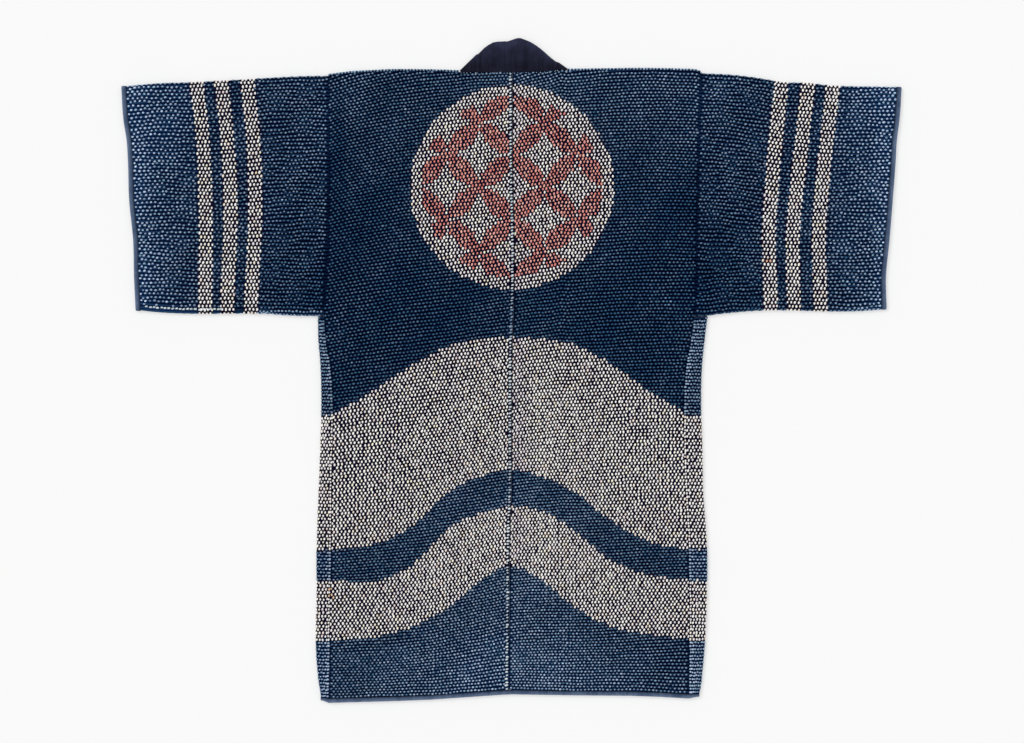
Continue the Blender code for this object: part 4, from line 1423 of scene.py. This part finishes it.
def neck_path():
    """One folded band: up the left front edge, turned under at the neck, across the back, down the right."""
    half = BAND_THICKNESS / 2
    radius = BAND_TURN - half
    sections = []

    def front(side, lines):
        """A stretch flat under a front's edge."""
        sign = outward_sign(side)
        x, y = front_plan(side, np.ones_like(lines), lines)
        free = sign * column(FRONT_EDGE, FRONT_COLUMNS, "free", y)
        sections.append((
            points(x - sign * BINDING_GAP, y, half), points(free, y, half),
            np.broadcast_to([0.0, 0.0, -1.0], (len(lines), 3)),
        ))

    edges = []
    for side in SIDES:
        across_neck = np.linspace(neck_share(side), 1, NECK_EDGE_STATIONS)
        edges.append(back_plan(side, across_neck, np.zeros(NECK_EDGE_STATIONS)))
    edge_x = np.concatenate([edges[0][0], edges[1][0][::-1]])
    edge_y = np.concatenate([edges[0][1], edges[1][1][::-1]])

    def neck_seam(x):
        """The seam on the back's upper edge."""
        return np.interp(x, edge_x, edge_y) + BINDING_GAP

    def fold(row, sign, angles):
        """The turned edge: the section swings from one layer to the other about the fold line."""
        seam_x, free_x, free_y = row
        seam_y = float(neck_seam(seam_x))
        line = np.array([free_x - seam_x, free_y - seam_y])
        line = line / np.linalg.norm(line)
        outward = np.array([line[1] * sign, abs(line[0])])
        swing = outward[None, :] * (radius * np.cos(angles))[:, None]
        blunt = line[None, :] * (BAND_BLUNT * np.cos(angles))[:, None]
        level = BAND_TURN + radius * np.sin(angles)
        sections.append((
            points(seam_x + swing[:, 0], seam_y + swing[:, 1], level),
            points(
                free_x + BAND_TAPER * swing[:, 0] - blunt[:, 0],
                free_y + BAND_TAPER * swing[:, 1] - blunt[:, 1], level,
            ),
            points(outward[0] * np.cos(angles), outward[1] * np.cos(angles), np.sin(angles)),
        ))

    lines = np.linspace(BAND_START, 1, FRONT_STATIONS)
    quarter = math.pi / 2
    front("left", lines[::-1])
    fold(NECK_MOUND[0], -1.0, np.linspace(-quarter, quarter, TURN_STEPS + 1))
    seam_x = np.linspace(NECK_MOUND[0][0], NECK_MOUND[-1][0], NECK_STATIONS)[1:-1]
    free_x = column(NECK_MOUND, NECK_COLUMNS, "free_x", seam_x)
    free_y = column(NECK_MOUND, NECK_COLUMNS, "free_y", seam_x)
    level = BAND_TURN + radius
    sections.append((
        points(seam_x, neck_seam(seam_x), level), points(free_x, free_y, level),
        np.broadcast_to([0.0, 0.0, 1.0], (len(seam_x), 3)),
    ))
    fold(NECK_MOUND[-1], 1.0, np.linspace(quarter, -quarter, TURN_STEPS + 1))
    front("right", lines)
    seam, free, up = (np.concatenate([s[i] for s in sections]) for i in range(3))
    across = free - seam
    width = np.linalg.norm(across, axis=1)
    return seam, across / width[:, None], up, width


# Settings

def spacing_property(name, description, default):
    """A spacing of rows or stitches that a user can change, in metres."""
    return FloatProperty(
        name=name, description=description, default=default, min=0.003, max=0.02, unit="LENGTH", precision=5,
    )


class QuiltingSettings(bpy.types.PropertyGroup):
    """Spacing and size of the running stitches."""

    body_row: spacing_property("Body Rows", "From one quilted row to the next on the body", 0.00515)
    body_stitch: spacing_property("Body Stitches", "From one stitch to the next on the body", 0.0059)
    gusset_row: spacing_property("Gusset Rows", "From one quilted row to the next on the gussets", 0.0053)
    sleeve_row: spacing_property("Sleeve Rows", "From one quilted row to the next on the sleeves", 0.0061)
    sleeve_stitch: spacing_property("Sleeve Stitches", "From one stitch to the next on the sleeves", 0.0065)
    stripe_stitch: spacing_property("Stripe Stitches", "From one stitch to the next in the stripes", 0.0059)
    height: FloatProperty(
        name="Stitch Relief", description="How proud the stitches stand, as a share of their usual height",
        default=1.0, min=0.2, max=2.0, subtype="FACTOR",
    )
    seed: IntProperty(
        name="Seed", description="Seed for the small differences from stitch to stitch", default=7, min=0,
    )


def colour_property(name, description, default):
    """A colour that a user can change, in linear red, green and blue."""
    return FloatVectorProperty(
        name=name, description=description, default=default, subtype="COLOR", size=3, min=0.0, max=1.0,
    )


class DyeSettings(bpy.types.PropertyGroup):
    """Colours of the cloth and the threads."""

    indigo: colour_property("Indigo Thread", "Thread where the indigo is deepest", (0.029, 0.100, 0.190))
    worn_indigo: colour_property("Worn Indigo Thread", "Thread where indigo has worn", (0.365, 0.477, 0.645))
    undyed: colour_property("Undyed Thread", "Thread kept clear of the dye", (0.97, 0.948, 0.905))
    # The darker undyed thread: its own duller tone, and painted shade in streaks and beside the centre seam
    undyed_shade: colour_property("Shaded Undyed Thread", "The darker undyed stitches", (0.74, 0.665, 0.74))
    red: colour_property("Red Thread", "Thread of the red petals", (0.72, 0.24, 0.20))
    worn_red: colour_property("Worn Red Thread", "The paler of the red stitches", (0.92, 0.52, 0.45))
    seam_thread: colour_property("Seam Thread", "Thread along the seams", (0.16, 0.25, 0.37))
    worn_seam_thread: colour_property("Worn Seam Thread", "The palest thread at seams", (0.68, 0.75, 0.79))
    gap: colour_property("Between Rows", "Cloth in the furrows between the rows", (0.0002, 0.0006, 0.0085))
    worn_gap: colour_property("Worn Between Rows", "The furrows where it has worn", (0.0008, 0.0085, 0.0420))
    row: colour_property("Row", "Cloth along the rows", (0.0028, 0.0125, 0.043))
    worn_row: colour_property("Worn Row", "Cloth along the rows where it has worn", (0.016, 0.054, 0.135))
    # Near black between undyed stitches: partly the cloth's own colour, partly painted shade
    ground_and_shade: colour_property("Undyed Ground", "Cloth between undyed stitches", (0.0055, 0.0038, 0.0160))
    binding: colour_property("Binding", "Slate blue of the bindings", (0.034, 0.062, 0.130))
    worn_binding: colour_property("Worn Binding", "The bindings where they have worn", (0.145, 0.20, 0.31))
    neckband: colour_property("Neckband", "Very dark blue of the neckband", (0.0064, 0.0060, 0.0155))
    worn_neckband: colour_property("Worn Neckband", "The neckband's worn edges", (0.030, 0.034, 0.072))


class StageSettings(bpy.types.PropertyGroup):
    """Camera, floor and light."""

    lens: FloatProperty(
        name="Lens", description="Focal length of the camera, in millimetres",
        default=85.0, min=20.0, max=200.0, subtype="DISTANCE_CAMERA",
    )
    width: FloatProperty(
        name="View Width", description="Width of what the camera sees at the height of the cloth",
        default=1.6384, min=0.5, max=5.0, unit="LENGTH",
    )
    floor: colour_property("Floor", "Colour of the floor", (0.955, 0.955, 0.955))
    glow: FloatProperty(
        name="Floor Glow", description="Share of the floor's brightness that comes from below",
        default=0.5, min=0.0, max=1.0, subtype="FACTOR",
    )
    key: FloatProperty(
        name="Main Light", description="Strength of the soft light from the upper left",
        default=1.15, min=0.0, max=20.0,
    )
    sky: FloatProperty(
        name="Even Light", description="Strength of the even light from all round",
        default=0.74, min=0.0, max=5.0,
    )


# Operators

def steps(length, spacing):
    """How many stitches or rows fit a length given in millimetres, at a spacing given in metres."""
    return int(round(length * MM / spacing))


class COAT_OT_body(bpy.types.Operator):
    """Make the two body lengths: back, shoulder fold and front in one piece of cloth"""

    bl_idname = "coat.body"
    bl_label = "Body Cloth"

    def execute(self, context):
        quilting, dye = context.scene.coat_quilting, context.scene.coat_dye
        material = quilted_cloth("body_cloth", dye)
        rows = steps(BACK_LENGTH, quilting.body_row)
        stitches = steps(HALF_WIDTH, quilting.body_stitch)
        for side in SIDES:
            neck = neck_share(side)
            us = lines_across(HALF_WIDTH, BODY_LINE_SPACING)
            us = np.unique(np.round(np.append(us[np.abs(us - neck) > NECK_LINE_CLEAR], neck), 9))
            to_neck = us[us <= neck + 1e-6] / neck
            down = np.linspace(0, 1, BACK_LINES)
            turned = np.linspace(0, 1, FOLD_STEPS + 1)
            front_down = np.linspace(0, 1, FRONT_LINES)
            surfaces = (back_surface, shoulder_surface, front_surface)
            back, shoulder, front = (partial(surface, side) for surface in surfaces)
            patches = [
                cloth_patch(back, us, down, stitches, rows, "back", side, row_rise),
                cloth_patch(shoulder, to_neck, turned, stitches * neck, 2, "back", side),
                cloth_patch(front, to_neck, front_down, stitches * neck, rows, "front", side),
            ]
            node_name = "body_" + side
            piece = make_shell(node_name + "_cloth", patches, material, node_name)
        return {"FINISHED"}


class COAT_OT_sleeves(bpy.types.Operator):
    """Make the two sleeves: flat tubes folded along the top and the bottom"""

    bl_idname = "coat.sleeves"
    bl_label = "Sleeve Cloth"

    def execute(self, context):
        quilting, dye = context.scene.coat_quilting, context.scene.coat_dye
        material = quilted_cloth("sleeve_cloth", dye)
        rows = steps(SLEEVE_DEPTH, quilting.sleeve_row)
        stitches = steps(SLEEVE_LENGTH, quilting.sleeve_stitch)
        us = lines_across(SLEEVE_LENGTH, SLEEVE_LINE_SPACING, both_ends=False)
        down = np.linspace(0, 1, SLEEVE_LINES)
        turned = np.linspace(0, 1, FOLD_STEPS + 1)
        for side in SIDES:
            patches = [
                cloth_patch(
                    partial(sleeve_surface, side, part), us, vs, stitches, count, "sleeve", side,
                    first_row=first,
                )
                for part, vs, count, first in (
                    ("upper", down, rows, 0), ("low_fold", turned, 0, 0.5),
                    ("under", down, rows, 0), ("high_fold", turned, 2, 0),
                )
            ]
            node_name = "sleeve_" + side
            piece = make_shell(node_name + "_cloth", patches, material, node_name)
        return {"FINISHED"}


class COAT_OT_gussets(bpy.types.Operator):
    """Make the two narrow side gussets, each folded round the side edge"""

    bl_idname = "coat.gussets"
    bl_label = "Gusset Cloth"

    def execute(self, context):
        quilting, dye = context.scene.coat_quilting, context.scene.coat_dye
        material = quilted_cloth("gusset_cloth", dye)
        rows = steps(UNDERARM - NECK_LEVEL + BACK_LENGTH, quilting.gusset_row)
        down = np.linspace(0, 1, GUSSET_LINES)
        across = np.array(GUSSET_LINES_ACROSS)
        turned = np.linspace(0, 1, FOLD_STEPS + 1)
        for side in SIDES:
            patches = [
                cloth_patch(
                    partial(gusset_surface, side, part), us, down, count, rows, "gusset", side,
                    wear=GUSSET_CLOTH_WEAR,
                )
                for part, us, count in (("upper", across, 3), ("rim", turned, 2), ("under", across, 3))
            ]
            node_name = "side_gusset_" + side
            piece = make_shell(node_name + "_cloth", patches, material, node_name)
        return {"FINISHED"}


class COAT_OT_body_stitches(bpy.types.Operator):
    """Lay the rows of running stitches on the back, over the shoulders and on the fronts"""

    bl_idname = "coat.body_stitches"
    bl_label = "Body Stitches"

    def execute(self, context):
        quilting, dye = context.scene.coat_quilting, context.scene.coat_dye
        rows = steps(BACK_LENGTH, quilting.body_row)
        stitches = steps(HALF_WIDTH, quilting.body_stitch)
        front_stitches = steps(FRONT_WIDTH, quilting.body_stitch)
        for number, side in enumerate(SIDES):
            rng = np.random.default_rng(quilting.seed + number)
            work = Quilting("body_" + side, "quilted_body", quilting, dye, rng)
            back_kind, front_kind = partial(dye_class, "back", side), partial(dye_class, "front", side)
            worn = partial(wear_and_shade, "back", side)
            u, v = on_slanted_rows(side, *brick(rows, stitches, BODY_CROWDING, rng, spare=SPARE_ROWS))
            work.lay(partial(back_surface, side), u, v, UP, back_kind, worn)
            u, v = brick(SHOULDER_ROWS, front_stitches, 0.0, rng, FOLD_DRIFT)
            fold, fold_worn = partial(shoulder_surface, side), partial(shoulder_fading, side)
            work.lay(fold, u, v, (0, 1, 0.2), back_kind, fold_worn)
            u, v = brick(rows, front_stitches, 0.0, rng)
            work.lay(partial(front_surface, side), u, v, DOWN, front_kind, worn, plain=True)
            work.finish(thread_materials())
        return {"FINISHED"}


class COAT_OT_sleeve_stitches(bpy.types.Operator):
    """Lay the rows of running stitches round both sleeves"""

    bl_idname = "coat.sleeve_stitches"
    bl_label = "Sleeve Stitches"

    def execute(self, context):
        quilting, dye = context.scene.coat_quilting, context.scene.coat_dye
        rows = steps(SLEEVE_DEPTH, quilting.sleeve_row)
        stitches = steps(SLEEVE_LENGTH, quilting.sleeve_stitch)
        for number, side in enumerate(SIDES):
            rng = np.random.default_rng(quilting.seed + 10 + number)
            work = Quilting("sleeve_" + side, "quilted_sleeve", quilting, dye, rng)
            worn = partial(wear_and_shade, "sleeve", side)
            for part, count, outward, plain in (
                ("upper", rows, UP, False), ("low_fold", FOLD_ROWS, (0, -1, 0), False),
                ("under", rows, DOWN, True), ("high_fold", FOLD_ROWS, (0, 1, 0), False),
            ):
                surface = partial(sleeve_surface, side, part)
                drift = SLEEVE_DRIFT if count == rows else FOLD_DRIFT
                u, v = off_stripes(side, part, rows, *brick(count, stitches, SLEEVE_CROWDING, rng, drift))
                size = SLEEVE_SIZE + CUFF_MORE * step(0.6, 1.0, u)
                work.lay(surface, u, v, outward, "blue", worn, size, plain)
                u, v = striped_rows(side, part, count, quilting.stripe_stitch / MM, rng)
                work.lay(surface, u, v, outward, "undyed", worn, STRIPE_SIZE, plain)
            if side == "left":
                upper, u_v = partial(sleeve_surface, side, "upper"), pale_row(rng)
                work.lay(upper, *u_v, UP, "seam", lambda x, y: np.full_like(x, PALE_ROW_WEAR), PALE_ROW_SIZE)
            work.finish(thread_materials())
        return {"FINISHED"}


class COAT_OT_gusset_stitches(bpy.types.Operator):
    """Lay the stitches on the gussets, with the paler column beside each seam"""

    bl_idname = "coat.gusset_stitches"
    bl_label = "Gusset Stitches"

    def execute(self, context):
        quilting, dye = context.scene.coat_quilting, context.scene.coat_dye
        rows = steps(UNDERARM - NECK_LEVEL + BACK_LENGTH, quilting.gusset_row)
        for number, side in enumerate(SIDES):
            rng = np.random.default_rng(quilting.seed + 20 + number)
            work = Quilting("side_gusset_" + side, "quilted_gusset", quilting, dye, rng)
            kind, worn = partial(dye_class, "gusset", side), partial(gusset_fading, side)
            for part, count, outward, plain in (
                ("upper", GUSSET_COLUMNS[side], UP, False),
                ("rim", FOLD_ROWS, (outward_sign(side), 0, 0.2), False),
                ("under", UNDER_COLUMNS, DOWN, True),
            ):
                u, v = brick(rows, count, 0.0, rng, GUSSET_DRIFT)
                if part == "upper":
                    u = GUSSET_START + (1 - GUSSET_START) * u
                    kept = (u * gusset_width(side, v) > GUSSET_CLEAR) & (v > UNDERARM_BARE)
                    u, v = u[kept], v[kept]
                work.lay(partial(gusset_surface, side, part), u, v, outward, kind, worn, plain=plain)
            u, v = gusset_column(side, rows, rng)
            pale = dye_class("gusset", side, *gusset_plan(side, u, v)) > 0
            size = np.where(pale, GUSSET_PALE_SIZE["undyed"], GUSSET_PALE_SIZE["blue"])
            work.lay(partial(gusset_surface, side, "upper"), u, v, UP, kind, worn, size)
            work.finish(thread_materials())
        return {"FINISHED"}


class COAT_OT_seams(bpy.types.Operator):
    """Lay the stitches that show along the centre-back seam and at the foot of the neckband"""

    bl_idname = "coat.seams"
    bl_label = "Seam Stitches"

    def execute(self, context):
        quilting, dye = context.scene.coat_quilting, context.scene.coat_dye
        rng = np.random.default_rng(quilting.seed + 30)
        rows = steps(BACK_LENGTH, quilting.body_row)
        for side in SIDES:
            work = Quilting("body_" + side, "quilted_body", quilting, dye, rng)
            back = partial(back_surface, side)
            u, v = neck_dots(side, rng)
            work.lay(back, u, v, UP, "seam", lambda x, y: 0.1 + rng.uniform(0, 1, len(x)) ** 2, NECK_DOT_SIZE)
            if side == "left":
                u, v = centre_column(rows, rng)
                size = np.clip(rng.normal(CENTRE_SIZE, 0.12, rows), 0.8, 1.3)
                work.lay(back, u, v, UP, "seam", centre_fading, size)
            work.finish(thread_materials())
        return {"FINISHED"}


class COAT_OT_bindings(bpy.types.Operator):
    """Make the slate blue bindings of the hem and the two cuffs"""

    bl_idname = "coat.bindings"
    bl_label = "Bindings"

    def execute(self, context):
        dye = context.scene.coat_dye
        material = plain_weave(
            "binding_cloth", dye.binding, dye.worn_binding, ribs=3.6, worn_edge=0.8, foot_painted_shadow=0.3,
        )
        strips = [("hem_binding", hem_path(), (0.017, 1.16))]
        for side in SIDES:
            strips.append(("cuff_binding_" + side, cuff_path(side), (0.018, 0.73)))
        for node_name, path, flat in strips:
            patch = ribbon_patch(*path, BINDING_THICKNESS, BINDING_CLOTH)
            piece = make_shell(node_name + "_cloth", [patch], material, node_name)
        return {"FINISHED"}


class COAT_OT_neckband(bpy.types.Operator):
    """Make the dark neckband: one strip folded double, round the neck and down both front edges"""

    bl_idname = "coat.neckband"
    bl_label = "Neckband"

    def execute(self, context):
        dye = context.scene.coat_dye
        material = plain_weave(
            "neckband_cloth", dye.neckband, dye.worn_neckband, ribs=4.2, worn_edge=0.9, foot_painted_shadow=0.8,
        )
        seam, out, up, width = neck_path()
        patch = ribbon_patch(seam, out, up, width, BAND_THICKNESS, BAND_CLOTH)
        piece = make_shell("neckband_cloth", [patch], material, "neckband")
        return {"FINISHED"}


class COAT_OT_stage(bpy.types.Operator):
    """Set up the floor, the soft light and the camera straight above the coat"""

    bl_idname = "coat.stage"
    bl_label = "Stage"

    def execute(self, context):
        scene, stage = context.scene, context.scene.coat_stage
        scene.view_settings.view_transform = "Standard"
        camera = bpy.data.objects.new("camera", bpy.data.cameras.new("camera"))
        scene.collection.objects.link(camera)
        camera.data.lens = stage.lens
        camera.data.sensor_width = SENSOR
        camera.data.clip_end = VIEW_DEPTH
        camera.location = (*CAMERA_PLACE, stage.width * stage.lens / SENSOR + CLOTH_LEVEL)
        scene.camera = camera
        floor = bpy.data.meshes.new("floor")
        corners = [(-1, -1), (1, -1), (1, 1), (-1, 1)]
        floor.from_pydata([(x * FLOOR_REACH, y * FLOOR_REACH, 0.0) for x, y in corners], [], [(0, 1, 2, 3)])
        floor.materials.append(stage_material(stage.floor, stage.glow))
        floor_object = bpy.data.objects.new("floor", floor)
        scene.collection.objects.link(floor_object)
        world = bpy.data.worlds.new("studio")
        scene.world = world
        world.use_nodes = True
        background = world.node_tree.nodes["Background"]
        background.inputs["Color"].default_value = (1.0, 1.0, 1.0, 1.0)
        background.inputs["Strength"].default_value = stage.sky
        light = bpy.data.lights.new("main_light", "SUN")
        light.energy = stage.key
        light.angle = math.radians(LIGHT_SPREAD)
        lamp = bpy.data.objects.new("main_light", light)
        scene.collection.objects.link(lamp)
        lamp.location = LIGHT_PLACE
        lamp.rotation_euler = (-lamp.location).to_track_quat("-Z", "Y").to_euler()
        return {"FINISHED"}


OPERATORS = (
    COAT_OT_stage,
    COAT_OT_body,
    COAT_OT_sleeves,
    COAT_OT_gussets,
    COAT_OT_body_stitches,
    COAT_OT_sleeve_stitches,
    COAT_OT_gusset_stitches,
    COAT_OT_seams,
    COAT_OT_bindings,
    COAT_OT_neckband,
)


class COAT_PT_panel(bpy.types.Panel):
    """Lists the coat's operators and settings in the sidebar."""

    bl_idname = "COAT_PT_panel"
    bl_label = "Fireman Coat"
    bl_space_type = "VIEW_3D"
    bl_region_type = "UI"
    bl_category = "Coat"

    def draw(self, context):
        """Draw a button for each operator and a box for each group of settings."""
        for operator in OPERATORS:
            self.layout.operator(operator.bl_idname)
        for group in (context.scene.coat_quilting, context.scene.coat_dye, context.scene.coat_stage):
            box = self.layout.box()
            for name in group.__annotations__:
                box.prop(group, name)


GROUPS = {"coat_quilting": QuiltingSettings, "coat_dye": DyeSettings, "coat_stage": StageSettings}


def register():
    """Register the settings, the operators and the panel."""
    for name, group in GROUPS.items():
        bpy.utils.register_class(group)
        setattr(bpy.types.Scene, name, PointerProperty(type=group))
    for made in (*OPERATORS, COAT_PT_panel):
        bpy.utils.register_class(made)


def unregister():
    """Take out what register put in, in the opposite order."""
    for made in reversed((*OPERATORS, COAT_PT_panel)):
        bpy.utils.unregister_class(made)
    for name, group in GROUPS.items():
        delattr(bpy.types.Scene, name)
        bpy.utils.unregister_class(group)


def main():
    """Make every piece in order."""
    register()
    for operator in OPERATORS:
        group, name = operator.bl_idname.split(".")
        getattr(getattr(bpy.ops, group), name)()


if __name__ == "__main__":
    main()
